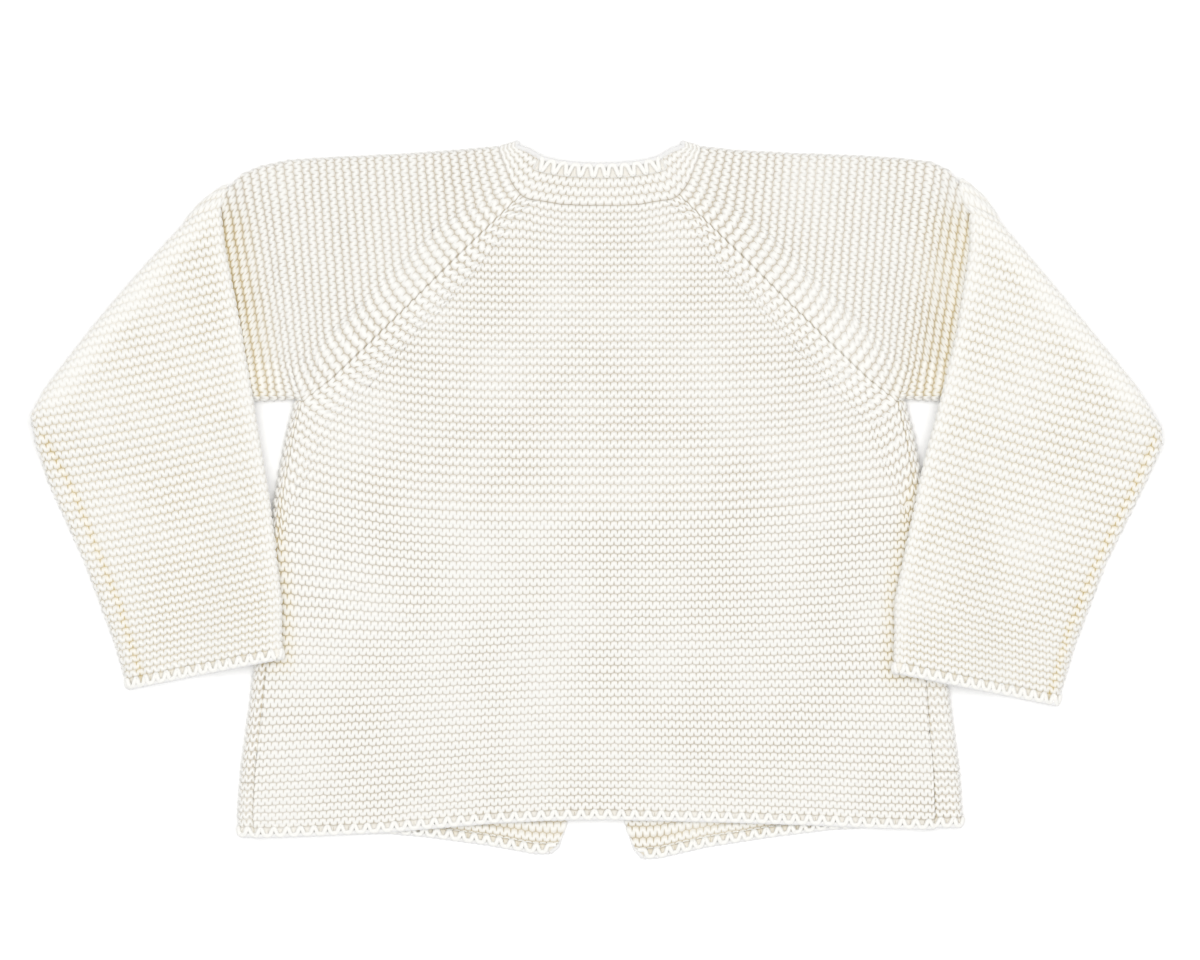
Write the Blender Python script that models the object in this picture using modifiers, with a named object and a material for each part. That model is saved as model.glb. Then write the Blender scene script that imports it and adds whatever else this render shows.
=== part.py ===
"""Baby cardigan in garter stitch, laid flat with its back up and both sleeves folded down.

Five knitted panels and a neck band, each a wall of thick knit with its own outline. The fronts
lie underneath, roll round the body's sides and end at the side seams on the back. Each sleeve is
a flattened tube that is open at the cuff and at the raglan seam. It runs out from the body, turns
over along a slanting fold and comes down over itself, the body's side and the floor.

Sizes are in millimetres and become metres as the vertices are placed. "out" is the distance
from the centre back towards either side, "up" runs towards the neck, and z is the height.
"""

import math
from collections import namedtuple

import bmesh
import bpy
from mathutils import Vector

MM = 0.001
Spot = namedtuple("Spot", "out up")

# Driving sizes
WALL = 2.4  # the knit's thickness
SEAM = 0.3  # clear distance between neighbouring pieces
UNDERARM_UP = 39.8  # the level of the underarms
LAID_X = 0.95  # the centre back, from the middle of the laid-out garment
LAID_Y = 0.3  # the level that the tables count from, also from that middle

# Heights that follow from the wall
STACK = 2 * WALL + SEAM  # two layers lying on each other
LOW = WALL / 2  # the middle of the lower layer's wall
HIGH = STACK - WALL / 2  # the middle of the upper layer's wall
ROLL = (HIGH - LOW) / 2  # the radius of a layer's middle where it rolls over an edge
EDGE = ROLL + WALL / 2  # from a roll's axis to its outline
FOLD_UP = STACK + SEAM / 2  # the height of the axis about which a sleeve turns over
DROP = STACK + SEAM  # how far a folded-down sleeve sinks past the layers under it

# Grid counts
ROLL_STEPS = 6
FOLD_STEPS = 8
SIDE_ROWS = 11  # from the hem to the underarm

# The body's outline on either side, from hem to underarm
BODY_SIDE = [
    Spot(144.6, -135.4),
    Spot(145.6, -126.0),
    Spot(144.4, -108.0),
    Spot(140.9, -82.0),
    Spot(131.2, 0.0),
    Spot(126.4, 26.0),
    Spot(123.0, 39.4),
]
# The raglan seam, from underarm to neck. Both layers share it, up to where their neck bands start.
RAGLAN = [
    Spot(119.0, 39.8),
    Spot(107.4, 48.8),
    Spot(92.0, 63.4),
    Spot(76.0, 79.0),
    Spot(58.0, 97.0),
    Spot(44.8, 109.6),
    Spot(31.6, 122.4),
]
UNDERARM_AXIS = Spot(118.6, 42.2)  # where the axis of a sleeve's rolled underarm edge starts
# The back's hem, from the left side to the right; here out is negative on the left
BACK_HEM = [
    Spot(-146.0, -135.6),
    Spot(-112.0, -134.4),
    Spot(-88.0, -133.2),
    Spot(-43.0, -129.4),
    Spot(-20.0, -128.2),
    Spot(0.0, -127.9),
    Spot(47.0, -128.9),
    Spot(88.0, -130.2),
    Spot(112.0, -131.4),
    Spot(146.0, -132.2),
]

# The neck band, in sections from the centre to the shoulder: its seam edge and its free edge
Section = namedtuple("Section", "seam_out seam_up free_out free_up")
BACK_BAND = [
    Section(0.0, 118.4, 0.0, 135.4),
    Section(7.9, 118.4, 5.5, 135.5),
    Section(15.8, 118.8, 11.0, 135.9),
    Section(23.7, 120.2, 16.9, 136.6),
    Section(31.6, 122.4, 23.2, 138.2),
    Section(36.2, 131.0, 26.8, 140.0),
    Section(40.2, 139.2, 30.5, 140.6),
]
FRONT_BAND = [
    Section(0.15, 89.5, 0.15, 102.0),
    Section(9.1, 90.8, 6.4, 102.8),
    Section(18.1, 95.4, 12.8, 105.8),
    Section(27.0, 103.8, 19.2, 112.0),
    Section(36.0, 118.2, 25.2, 122.5),
    Section(39.2, 129.0, 28.5, 131.5),
    Section(40.2, 139.2, 30.5, 140.6),
]
NECK_END = 4  # the section where the body's seam with the band ends and the sleeve's starts

# What differs between the two sides, because the garment was laid down by hand
FIELDS = "sign strip_hem strip_underarm front_edge front_hem shoulder fold slip bow inner outer"
Side = namedtuple("Side", FIELDS)
SIDES = {
    "left": Side(
        sign=-1,
        strip_hem=6.6,  # from the body's outline in to the side seam
        strip_underarm=3.6,
        front_edge=[  # the front's free edge, from its hem to the neck
            Spot(21.8, -141.8),
            Spot(17.8, -138.8),
            Spot(15.0, -132.4),
            Spot(13.8, -127.4),
            Spot(0.15, -73.0),
            Spot(0.15, 89.2),
        ],
        front_hem=[
            Spot(21.8, -141.8),
            Spot(26.0, -141.8),
            Spot(45.8, -138.2),
            Spot(69.8, -135.0),
            Spot(85.0, -133.6),
            Spot(115.0, -134.2),
            Spot(143.0, -135.4),
        ],
        shoulder=[  # roll axis of the sleeve's top edge, from the neck to the fold
            Spot(40.2, 139.2),
            Spot(57.8, 137.6),
            Spot(81.8, 136.0),
            Spot(105.8, 134.9),
            Spot(123.8, 133.8),
            Spot(135.8, 131.2),
            Spot(142.4, 128.2),
        ],
        fold=(Spot(148.6, 123.6), Spot(225.8, 34.0)),  # the axis about which the sleeve turns over
        slip=8.0,  # how far the knit moves down along the fold as it turns
        bow=2.6,  # how far the fold bows out between its ends
        inner=[  # roll axis of the folded-down sleeve's edge beside the body, from fold to cuff
            Spot(152.2, 101.4),
            Spot(146.2, 71.4),
            Spot(141.0, 41.4),
            Spot(134.2, 0.6),
            Spot(129.4, -39.8),
            Spot(129.2, -64.0),
        ],
        outer=[  # and of its edge away from the body
            Spot(225.6, 24.0),
            Spot(219.2, 8.0),
            Spot(204.4, -24.0),
            Spot(192.5, -56.0),
            Spot(186.6, -75.6),
        ],
    ),
    "right": Side(
        sign=1,
        strip_hem=11.6,
        strip_underarm=4.0,
        front_edge=[
            Spot(18.6, -143.8),
            Spot(14.6, -139.4),
            Spot(11.8, -132.6),
            Spot(10.6, -127.6),
            Spot(0.15, -73.0),
            Spot(0.15, 89.2),
        ],
        front_hem=[
            Spot(18.6, -143.8),
            Spot(24.0, -143.4),
            Spot(42.2, -139.2),
            Spot(66.2, -135.4),
            Spot(92.0, -132.2),
            Spot(118.0, -131.2),
            Spot(143.0, -131.8),
        ],
        shoulder=[
            Spot(40.2, 139.2),
            Spot(54.2, 137.6),
            Spot(78.2, 136.4),
            Spot(102.2, 135.5),
            Spot(120.2, 134.4),
            Spot(132.2, 133.0),
            Spot(138.4, 130.0),
        ],
        fold=(Spot(144.0, 123.8), Spot(224.2, 30.4)),
        slip=9.0,
        bow=0.6,
        inner=[
            Spot(150.0, 101.0),
            Spot(144.9, 67.8),
            Spot(138.5, 41.0),
            Spot(131.3, 14.2),
            Spot(120.1, -39.8),
            Spot(119.6, -69.6),
        ],
        outer=[
            Spot(224.4, 23.0),
            Spot(216.8, 8.0),
            Spot(200.8, -24.0),
            Spot(188.6, -56.0),
            Spot(180.6, -82.2),
        ],
    ),
}


def lerp(a, b, t):
    """The point or number that lies the share t of the way from a to b."""
    if isinstance(a, Spot):
        return Spot(lerp(a.out, b.out, t), lerp(a.up, b.up, t))
    return a + (b - a) * t


def smooth(low, high, value):
    """Rises softly from 0 at low to 1 at high."""
    t = min(1.0, max(0.0, (value - low) / (high - low)))
    return t * t * (3 - 2 * t)


def walk(line, share):
    """The point at a share of a line's whole length."""
    lengths = [math.dist(a, b) for a, b in zip(line, line[1:])]
    left = share * sum(lengths)
    for a, b, length in zip(line, line[1:], lengths):
        if left <= length:
            return lerp(a, b, left / length)
        left -= length
    return line[-1]


def at_height(line, up):
    """How far out a line that runs upwards is at a height."""
    for a, b in zip(line, line[1:]):
        if up <= b.up:
            return lerp(a.out, b.out, max(0.0, (up - a.up) / (b.up - a.up)))
    return line[-1].out


def at_out(line, out):
    """How high a line that runs outwards is at a distance out."""
    for a, b in zip(line, line[1:]):
        if out <= b.out:
            return lerp(a.up, b.up, max(0.0, (out - a.out) / (b.out - a.out)))
    return line[-1].up


def patch(left, right, bottom, top, u, v):
    """A point of the panel between four edges, at the shares u across and v up.

    left and right hold their edge's spots in this row, at the bottom and at the top. A row runs
    straight across, bent as the bottom and the top edge are.
    """
    here, low, high = [lerp(a, b, u) for a, b in zip(left, right)]
    bend = lerp(bottom(low.out) - low.up, top(high.out) - high.up, v)
    return here.out, here.up + bend


def knit(name, columns, rows, place, spare=lambda column, row: False, wall=WALL):
    """A panel of knit: a grid whose points are put in place, then thickened to the wall.

    A grid that closes on itself both ways is a whole skin already, and its wall is 0.
    """
    shape = bmesh.new()
    bmesh.ops.create_grid(shape, x_segments=columns, y_segments=rows, size=0.5)
    steps = {v: (round((v.co.x + 0.5) * columns), round((v.co.y + 0.5) * rows)) for v in shape.verts}
    unused = [vert for vert, step in steps.items() if spare(*step)]
    bmesh.ops.delete(shape, geom=unused, context="VERTS")
    for vert in shape.verts:
        x, y, z = place(*steps[vert])
        vert.co = Vector((x + LAID_X, y + LAID_Y, z)) * MM
    bmesh.ops.remove_doubles(shape, verts=shape.verts, dist=0.01 * MM)
    # layers that lie on each other are split alike, so that they keep clear where they curve
    bmesh.ops.triangulate(shape, faces=shape.faces, quad_method="SHORT_EDGE")
    bmesh.ops.recalc_face_normals(shape, faces=shape.faces)
    mesh = bpy.data.meshes.new(name)
    shape.to_mesh(mesh)
    shape.free()
    piece = bpy.data.objects.new(name, mesh)
    if wall:
        thicken = piece.modifiers.new("Wall", "SOLIDIFY")
        thicken.thickness = wall * MM
        thicken.offset = 0.0
        thicken.use_even_offset = True
    piece.data.materials.append(wool(name))
    garment.objects.link(piece)
    return piece


def wool(name):
    """Cream wool, matt and soft."""
    yarn = bpy.data.materials.new(name)
    yarn.use_nodes = True
    shader = yarn.node_tree.nodes["Principled BSDF"]
    shader.inputs["Base Color"].default_value = (0.90, 0.87, 0.80, 1.0)
    shader.inputs["Roughness"].default_value = 0.9
    shader.inputs["Metallic"].default_value = 0.0
    return yarn


def beside(spot, way):
    """A spot of a slanting seam, moved half a seam's width out and up (way 1) or in and down (-1)."""
    move = way * SEAM / 2 / math.sqrt(2)
    return Spot(spot.out + move, spot.up + move)


def side_seam(side, up):
    """How far out the side seam runs on the back, at a height."""
    strip = lerp(side.strip_hem, side.strip_underarm, smooth(-140.0, UNDERARM_UP, up))
    return at_height(BODY_SIDE, up) - strip


def row_share(row):
    """How far up the side a row lies. Rows are closer at the hem, where the corners are rounded."""
    return (row / SIDE_ROWS) ** 1.5


def side_level(side, row):
    """The height of a row of the body at its side, from the hem to the underarm."""
    hem_up = at_out(BACK_HEM, side.sign * BODY_SIDE[0].out)
    return lerp(hem_up, UNDERARM_UP - SEAM, row_share(row))


def make_back():
    """The back panel: hem, side seams, raglans and neck, as the upper layer."""
    columns = 16
    rows = SIDE_ROWS + len(RAGLAN) - 1
    seam = [Spot(s.seam_out, s.seam_up - SEAM) for s in BACK_BAND[: NECK_END + 1]]

    def edge(side, row):
        if row <= SIDE_ROWS:
            up = side_level(side, row)
            return Spot(side.sign * (side_seam(side, up) - SEAM / 2), up)
        spot = beside(RAGLAN[row - SIDE_ROWS], -1)
        return Spot(side.sign * spot.out, spot.up)

    def place(column, row):
        out, up = patch(
            [edge(SIDES["left"], r) for r in (row, 0, rows)],
            [edge(SIDES["right"], r) for r in (row, 0, rows)],
            lambda x: at_out(BACK_HEM, x),
            lambda x: at_out(seam, abs(x)),
            column / columns,
            row / rows,
        )
        return out, up, HIGH

    return knit("back", columns, rows, place)


def make_front(name, side):
    """A front: it lies underneath, rolls round the body's side and ends at the side seam."""
    flat = 8
    columns = flat + ROLL_STEPS + 1
    raglan = RAGLAN[:-1] + [Spot(FRONT_BAND[NECK_END].seam_out, FRONT_BAND[NECK_END].seam_up)]
    rows = SIDE_ROWS + len(raglan) - 1
    seam = [Spot(s.seam_out, s.seam_up - SEAM * math.sqrt(2)) for s in FRONT_BAND[: NECK_END + 1]]
    knee = 34.0  # the height at which the row through the underarm meets the front's free edge

    def free_edge(row):
        line = side.front_edge
        if row <= SIDE_ROWS:
            up = lerp(line[0].up, knee, row_share(row))
        else:
            up = lerp(knee, line[-1].up, (row - SIDE_ROWS) / (rows - SIDE_ROWS))
        return Spot(at_height(line, up), up)

    def roll_axis(row):
        if row <= SIDE_ROWS:
            up = side_level(side, row)
            return Spot(at_height(BODY_SIDE, up) - EDGE, up)
        return beside(raglan[row - SIDE_ROWS], -1)

    def place(column, row):
        if column <= flat:
            out, up = patch(
                [free_edge(r) for r in (row, 0, rows)],
                [roll_axis(r) for r in (row, 0, rows)],
                lambda x: at_out(side.front_hem, x),
                lambda x: at_out(seam, x),
                column / flat,
                row / rows,
            )
            return side.sign * out, up, LOW
        axis = roll_axis(row)
        if column < columns:
            angle = math.pi * (column - flat) / ROLL_STEPS
            out = axis.out + ROLL * math.sin(angle)
            return side.sign * out, axis.up, LOW + ROLL - ROLL * math.cos(angle)
        return side.sign * (side_seam(side, axis.up) + SEAM / 2), axis.up, HIGH

    return knit(name, columns, rows, place, lambda column, row: row > SIDE_ROWS and column > flat)


def make_neck_band():
    """The band round the neck: across the back, over both shoulders and down to the fronts' edges."""
    back = len(BACK_BAND) - 1
    over = back + ROLL_STEPS
    half = over + len(FRONT_BAND) - 1

    def section(step):
        """The section at a step from the centre back, its way over the shoulder and its height."""
        if step <= back:
            return BACK_BAND[step], 0.0, HIGH
        if step <= over:
            angle = math.pi * (step - back) / ROLL_STEPS
            return BACK_BAND[-1], ROLL * math.sin(angle), LOW + ROLL + ROLL * math.cos(angle)
        return FRONT_BAND[half - step], 0.0, LOW

    def place(column, row):
        step = column - half
        band, beyond, z = section(abs(step))
        out = lerp(band.free_out, band.seam_out, row / 2)
        up = lerp(band.free_up, band.seam_up, row / 2)
        return math.copysign(out, step), up + beyond, z

    return knit("neck_band", 2 * half, 2, place)


def settle(spot):
    """How far a folded-down sleeve sinks where neither the body nor the sleeve is under it."""
    past_body = spot.out - at_height(BODY_SIDE, spot.up)
    return DROP * smooth(3.0, 28.0, past_body) * smooth(2.0, 34.0, UNDERARM_UP - spot.up)


def on_slope(spot, height):
    """The height of a layer of the folded-down sleeve where it settles, kept clear on the slope."""
    step = 0.5
    here = settle(spot)
    run_out = (settle(Spot(spot.out + step, spot.up)) - here) / step
    run_up = (settle(Spot(spot.out, spot.up + step)) - here) / step
    return DROP - here + (height - DROP) * math.hypot(1.0, run_out, run_up)


def make_sleeve(name, side):
    """A sleeve: a flattened tube from the raglan seam out to the slanting fold and down to the cuff."""
    flat = len(RAGLAN) + 1
    around = 2 * (flat + ROLL_STEPS)
    to_fold, to_cuff = 7, 12
    along = to_fold + FOLD_STEPS + to_cuff
    fold_start, fold_length = Vector(side.fold[0]), math.dist(*side.fold)
    slant = (Vector(side.fold[1]) - fold_start) / fold_length
    outward = Vector((-slant.y, slant.x))
    inner = [Spot(*(fold_start + slant * side.slip))] + side.inner
    outer = [side.fold[1]] + side.outer
    raglan = (Vector(RAGLAN[0]) - Vector(RAGLAN[1])).normalized()
    shoulder = Vector((-0.2, -0.98))  # the way down the shoulder, where the sleeve meets the band

    def ring(step, radius):
        """A place round the flattened tube: its column, its reach past an edge and its height.

        The tube's outside rolls over its edges with one radius and its inside with another.
        """
        angle = math.pi * (step % (flat + ROLL_STEPS) - flat) / ROLL_STEPS
        reach, rise = radius * math.sin(angle), radius * math.cos(angle)
        if step < flat:
            return flat - step, 0.0, STACK / 2 - radius
        if step < flat + ROLL_STEPS:
            return 0, -reach, STACK / 2 - rise
        if step < 2 * flat + ROLL_STEPS:
            return step - flat - ROLL_STEPS, 0.0, STACK / 2 + radius
        return flat, reach, STACK / 2 + rise

    def seam_line(upper):
        """The sleeve's end at the body: along the neck band, then along the raglan."""
        bands = BACK_BAND if upper else FRONT_BAND
        corner, middle, top = [Spot(s.seam_out, s.seam_up) for s in bands[NECK_END:]]
        away = [Spot(spot.out + 1.3 * SEAM, spot.up) for spot in (top, middle, corner)]
        return away + [beside(spot, 1) for spot in RAGLAN[-2:0:-1]] + [UNDERARM_AXIS]

    def bowed(spot, amount):
        """A spot moved out by the bow of the fold beside it."""
        along_fold = (Vector(spot) - fold_start).dot(slant) / fold_length
        way = outward * amount * math.sin(math.pi * min(1.0, max(0.0, along_fold)))
        return Spot(spot.out + way.x, spot.up + way.y)

    def on_fold(share, reach, slipped):
        """A place on the fold's axis, where the knit turns up (slipped 0) or comes down (1)."""
        along_fold = share * (fold_length - side.slip) + slipped * side.slip + reach
        return bowed(Spot(*(fold_start + slant * along_fold)), side.bow)

    def upper_sleeve(column, reach, z, t):
        share = column / flat
        spot = lerp(seam_line(z > STACK / 2)[column], on_fold(share, 0.0, 0.0), t)
        straight = lerp(side.shoulder[0], Spot(*fold_start), t)
        curved = walk(side.shoulder + [Spot(*fold_start)], t)
        ease = (1 - share) ** 2
        way = lerp(shoulder if reach < 0 else raglan, slant, t) * reach
        out = spot.out + way.x + (curved.out - straight.out) * ease
        return Spot(out, spot.up + way.y + (curved.up - straight.up) * ease), z

    def turn_over(share, reach, z, t):
        axis = on_fold(share, reach, t)
        radius = FOLD_UP - z
        way = outward * radius * math.sin(math.pi * t)
        spot = Spot(axis.out + way.x, axis.up + way.y)
        return spot, FOLD_UP - radius * math.cos(math.pi * t) - settle(spot) * smooth(0.5, 1.0, t)

    def lower_sleeve(share, reach, z, t):
        near, far = walk(inner, t), walk(outer, t)
        spot = bowed(lerp(near, far, share + reach / math.dist(near, far)), side.bow * (1 - t) ** 2)
        return spot, on_slope(spot, 2 * FOLD_UP - z)

    def place(step_around, row):
        """The skin goes down the tube's outside from the body to the cuff and back up its inside."""
        row %= 2 * (along + 1)
        inside = row > along
        step = 2 * along + 1 - row if inside else row
        column, reach, z = ring(step_around % around, SEAM / 2 if inside else EDGE)
        if step <= to_fold:
            spot, z = upper_sleeve(column, reach, z, step / to_fold)
        elif step < to_fold + FOLD_STEPS:
            spot, z = turn_over(column / flat, reach, z, (step - to_fold) / FOLD_STEPS)
        else:
            share_down = (step - to_fold - FOLD_STEPS) / to_cuff
            spot, z = lower_sleeve(column / flat, reach, z, share_down)
        return side.sign * spot.out, spot.up, z

    return knit(name, around, 2 * (along + 1), place, wall=0)


for old in list(bpy.data.objects):
    bpy.data.objects.remove(old, do_unlink=True)
garment = bpy.data.collections.new("baby_cardigan")
bpy.context.scene.collection.children.link(garment)

make_back()
make_front("front_left", SIDES["left"])
make_front("front_right", SIDES["right"])
make_neck_band()
make_sleeve("sleeve_left", SIDES["left"])
make_sleeve("sleeve_right", SIDES["right"])
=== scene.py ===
# %% [markdown]
# # A hand-knitted baby cardigan
#
# The cardigan lies on its front with its back up, and both sleeves are folded down over themselves.
# It is knitted in garter stitch: every two rows of knitting make one raised ridge. This lesson
# builds each knitted piece as a grid whose columns are stitches and whose rows are ridges, so the
# yarn's relief sits exactly on the knit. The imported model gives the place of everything.

import math

import bmesh
import bpy
import numpy as np
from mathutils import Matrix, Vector


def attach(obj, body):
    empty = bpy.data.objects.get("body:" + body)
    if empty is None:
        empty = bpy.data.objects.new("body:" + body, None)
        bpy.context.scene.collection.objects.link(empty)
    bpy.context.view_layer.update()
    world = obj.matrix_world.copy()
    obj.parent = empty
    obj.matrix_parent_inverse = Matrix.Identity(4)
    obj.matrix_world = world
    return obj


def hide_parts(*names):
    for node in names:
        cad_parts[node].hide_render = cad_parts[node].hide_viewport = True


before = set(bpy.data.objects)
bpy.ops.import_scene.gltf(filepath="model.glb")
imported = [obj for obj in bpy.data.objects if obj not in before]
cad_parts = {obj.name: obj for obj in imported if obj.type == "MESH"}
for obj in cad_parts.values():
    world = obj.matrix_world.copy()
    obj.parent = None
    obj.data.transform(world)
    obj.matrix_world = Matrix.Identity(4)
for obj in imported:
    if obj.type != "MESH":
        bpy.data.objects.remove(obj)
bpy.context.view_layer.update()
print("nodes:", sorted(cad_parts))

# %% [markdown]
# ## Sizes and outlines
#
# All sizes are in millimetres and turn into metres when a mesh is made. "out" is the distance from
# the centre back towards a side, and "up" runs towards the neck. The two sides were laid down by
# hand, so each has its own outline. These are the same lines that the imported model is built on.

# %% Sizes of the knit and of the laid-out layers
MM = 0.001
LAID_X, LAID_Y = 0.95, 0.3  # where the tables' zero lies in the frame
STACK = 5.1  # the top of the back, which lies on the fronts
LAYER = 2.4  # the top of the layer underneath
PROUD = 0.2  # how far the ridges stand above the layers' tops
EDGE = 2.55  # radius of a layer's rolled edge
FOLD_RADIUS = 5.25  # radius of the folded sleeve's edge
DROP = 5.4  # how far a folded sleeve sinks past the layers under it
UNDERARM_UP = 39.8
STITCH = 2.8  # width of a stitch
RELIEF = 1.2  # from a bump's top to the groove between two ridges
FINE = 4  # grid columns to a stitch
LEVELS_IN_RIDGE = np.array([0.0, 0.13, 0.38, 0.62, 0.87])  # grid rows, closer beside the groove
ROWS = len(LEVELS_IN_RIDGE)


def ridge_rows(low, high):
    """The grid's rows from one ridge to another, as ridge numbers."""
    return np.r_[(np.arange(low, high)[:, None] + LEVELS_IN_RIDGE).ravel(), high]


print("one stitch is", STITCH, "mm wide and has", FINE * ROWS, "faces")

# %% Outlines shared by both sides
BODY_SIDE = np.array(  # out, up
    [(144.6, -135.4), (145.6, -126), (144.4, -108), (140.9, -82), (131.2, 0), (126.4, 26), (123, 39.4)]
)
RAGLAN = np.array(
    [(119, 39.8), (107.4, 48.8), (92, 63.4), (76, 79), (58, 97), (44.8, 109.6), (31.6, 122.4)]
)
BACK_HEM = np.array(  # x, up
    [(-146, -135.6), (-112, -134.4), (-88, -133.2), (-43, -129.4), (-20, -128.2), (0, -127.9)]
    + [(47, -128.9), (88, -130.2), (112, -131.4), (146, -132.2)]
)
NECK_SEAM = np.array([(0, 118.1), (7.9, 118.1), (15.8, 118.5), (23.7, 119.9), (31.6, 122.1)])
print("the back is", BACK_HEM[-1, 0] - BACK_HEM[0, 0], "mm wide at its hem")

# %% Outlines of each side
SIDES = {
    "left": dict(
        sign=-1,
        strip=(6.6, 3.6),  # the front's strip on the back, at the hem and at the underarm
        front_edge=[(21.8, -141.8), (17.8, -138.8), (15, -132.4), (13.8, -127.4), (0.15, -73)]
        + [(0.15, 89.2)],
        front_hem=[(21.8, -141.8), (26, -141.8), (45.8, -138.2), (69.8, -135), (85, -133.6)]
        + [(115, -134.2), (143, -135.4)],
        shoulder=[(40.2, 139.2), (57.8, 137.6), (81.8, 136), (105.8, 134.9), (123.8, 133.8)]
        + [(135.8, 131.2), (142.4, 128.2), (148.6, 123.6)],
        fold=[(148.6, 123.6), (225.8, 34)],
        bow=2.6,
        inner=[(129.2, -64), (129.4, -39.8), (134.2, 0.6), (141, 41.4), (146.2, 71.4), (152.2, 101.4)]
        + [(153.8, 117.5)],
        outer=[(186.6, -75.6), (192.5, -56), (204.4, -24), (218.9, 8), (223.8, 24), (224.4, 34)],
        tuck=(1.2, 1.6),  # how far the fold's own line lies inside the straight one, at its ends
        nose=(-4.2, 9.7),  # from the last ridge to the tip of the fold's upper corner
        seam=[(182.4, -78), (183.6, -69.8), (189.6, -51.4), (192, -42.6), (210.4, 3), (219.2, 19.8)]
        + [(224, 29.4)],
        lean=(14.0, 8.0),  # degrees that a ridge of the folded sleeve falls, inside and outside
        shade=17.0,  # how wide the golden shade beside the folded sleeve is
    ),
    "right": dict(
        sign=1,
        strip=(11.6, 4.0),
        front_edge=[(18.6, -143.8), (14.6, -139.4), (11.8, -132.6), (10.6, -127.6), (0.15, -73)]
        + [(0.15, 89.2)],
        front_hem=[(18.6, -143.8), (24, -143.4), (42.2, -139.2), (66.2, -135.4), (92, -132.2)]
        + [(118, -131.2), (143, -131.8)],
        shoulder=[(40.2, 139.2), (54.2, 137.6), (78.2, 136.4), (102.2, 135.5), (120.2, 134.4)]
        + [(132.2, 133), (138.4, 130), (144, 123.8)],
        fold=[(144, 123.8), (224.2, 30.4)],
        bow=0.6,
        inner=[(119.6, -69.6), (120.1, -39.8), (131.3, 14.2), (138.5, 41), (144.9, 67.8), (150, 101)]
        + [(149.9, 117)],
        outer=[(180.6, -82.2), (188.6, -56), (200.8, -24), (216.6, 8), (222.9, 23), (222.8, 30.4)],
        tuck=(0.9, 2.9),
        nose=(-3.2, 10.8),
        seam=[(178.4, -84), (184, -63.8), (188, -50.2), (199, -24), (214.9, 8), (221, 23), (222, 29)],
        lean=(17.0, 12.5),
        shade=27.0,
    ),
}
for side in SIDES.values():
    for key, value in side.items():
        if isinstance(value, list):
            side[key] = np.array(value, float)
print("sides:", list(SIDES))


# %% Small helpers for lines
def lerp(a, b, t):
    return a + (b - a) * t


def smooth(low, high, value):
    """Rises softly from 0 at low to 1 at high."""
    t = np.clip((value - low) / (high - low), 0.0, 1.0)
    return t * t * (3 - 2 * t)


def out_at(line, up):
    """How far out an outline is at a height."""
    order = np.argsort(line[:, 1])
    return np.interp(up, line[order, 1], line[order, 0])


def up_at(line, out):
    """How high an outline is at a distance out."""
    order = np.argsort(line[:, 0])
    return np.interp(out, line[order, 0], line[order, 1])


def along(line, share):
    """The points at shares of a line's whole length."""
    steps = np.r_[0, np.cumsum(np.hypot(*np.diff(line, axis=0).T))]
    return np.stack([np.interp(np.asarray(share) * steps[-1], steps, line[:, k]) for k in (0, 1)], -1)


def bezier(a, control, b, t):
    """A quadratic curve from a to b; the points are (rows, 2) and t runs over the columns."""
    a, control, b, t = a[:, None], control[:, None], b[:, None], t[..., None]
    return a * (1 - t) ** 2 + 2 * control * t * (1 - t) + b * t * t


print("halfway up the raglan:", along(RAGLAN, 0.5).round(1))

# %% [markdown]
# ## The relief of garter stitch
#
# In a ridge the yarn runs as a snake: a row of arches over a row of hanging loops, half a stitch
# apart. Between two arches, and between two loops, there is a narrow slit. An image could hold this
# pattern, but a formula keeps it sharp at any size and turns it with the knit. The relief is a
# function of the place in the stitch and in the ridge: "turn" is 1 under the top of an arch and -1
# over the bottom of a loop, and "level" runs from 0 to 1 across the ridge.


# %% The relief's height
ROUNDNESS = 0.35  # the lower, the squarer a ridge is
SLIT_FROM, SLIT_DEPTH, SLIT_POINT = 0.55, 0.47, 0.7  # the turn where a slit begins, its depth and point
def garter(turn, level):
    """Height from 0 in a groove to 1 on the yarn. Where turn is 0 there is only the ridge."""
    level = level % 1.0
    ridge = np.sin(np.pi * level) ** ROUNDNESS
    slit = lambda turn: SLIT_DEPTH * np.clip((turn - SLIT_FROM) / (1 - SLIT_FROM), 0, 1) ** SLIT_POINT
    high, low = 0.98 - slit(-turn), 0.02 + slit(turn)  # where the arches and the loops end
    away = (level - (high + low) / 2) / (0.52 * (high - low))
    return ridge * lerp(0.42, 1, np.sqrt(np.clip(1 - away**2, 0, 1)))


for level in (0.0, 0.2, 0.4, 0.6, 0.8):
    print("level", level, "heights", [round(float(garter(t, level)), 2) for t in (1, 0, -1)])

# %% [markdown]
# ## From a grid to a knitted shell
#
# `bmesh.ops.create_grid` makes the sheet, and every vertex is then moved to its stitch. A shell is
# a stack of closed loops, one for each grid row: over the top, round one edge, back underneath and
# round the other edge. Where a row has fewer stitches than the grid, the spare columns fall
# together on the row's end and are merged, which is also how a knitter's decreases look. A
# displacement modifier could carve the same relief, but its vertices wouldn't lie on the stitches.

# %% One run of columns
random = np.random.default_rng(11)
REPEAT = 260  # ridges and stitches before the unevenness comes again
UNEVEN = random.normal(0, 1, (REPEAT, REPEAT))


def uneven(ridge, stitch):
    """A soft unevenness from stitch to stitch."""
    i, j = np.floor(ridge).astype(int), np.floor(stitch).astype(int)
    u, v = ridge - i, stitch - j
    pick = lambda a, b: UNEVEN[a % REPEAT, b % REPEAT]
    low, high = lerp(pick(i, j), pick(i, j + 1), v), lerp(pick(i + 1, j), pick(i + 1, j + 1), v)
    return lerp(low, high, u)


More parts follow.
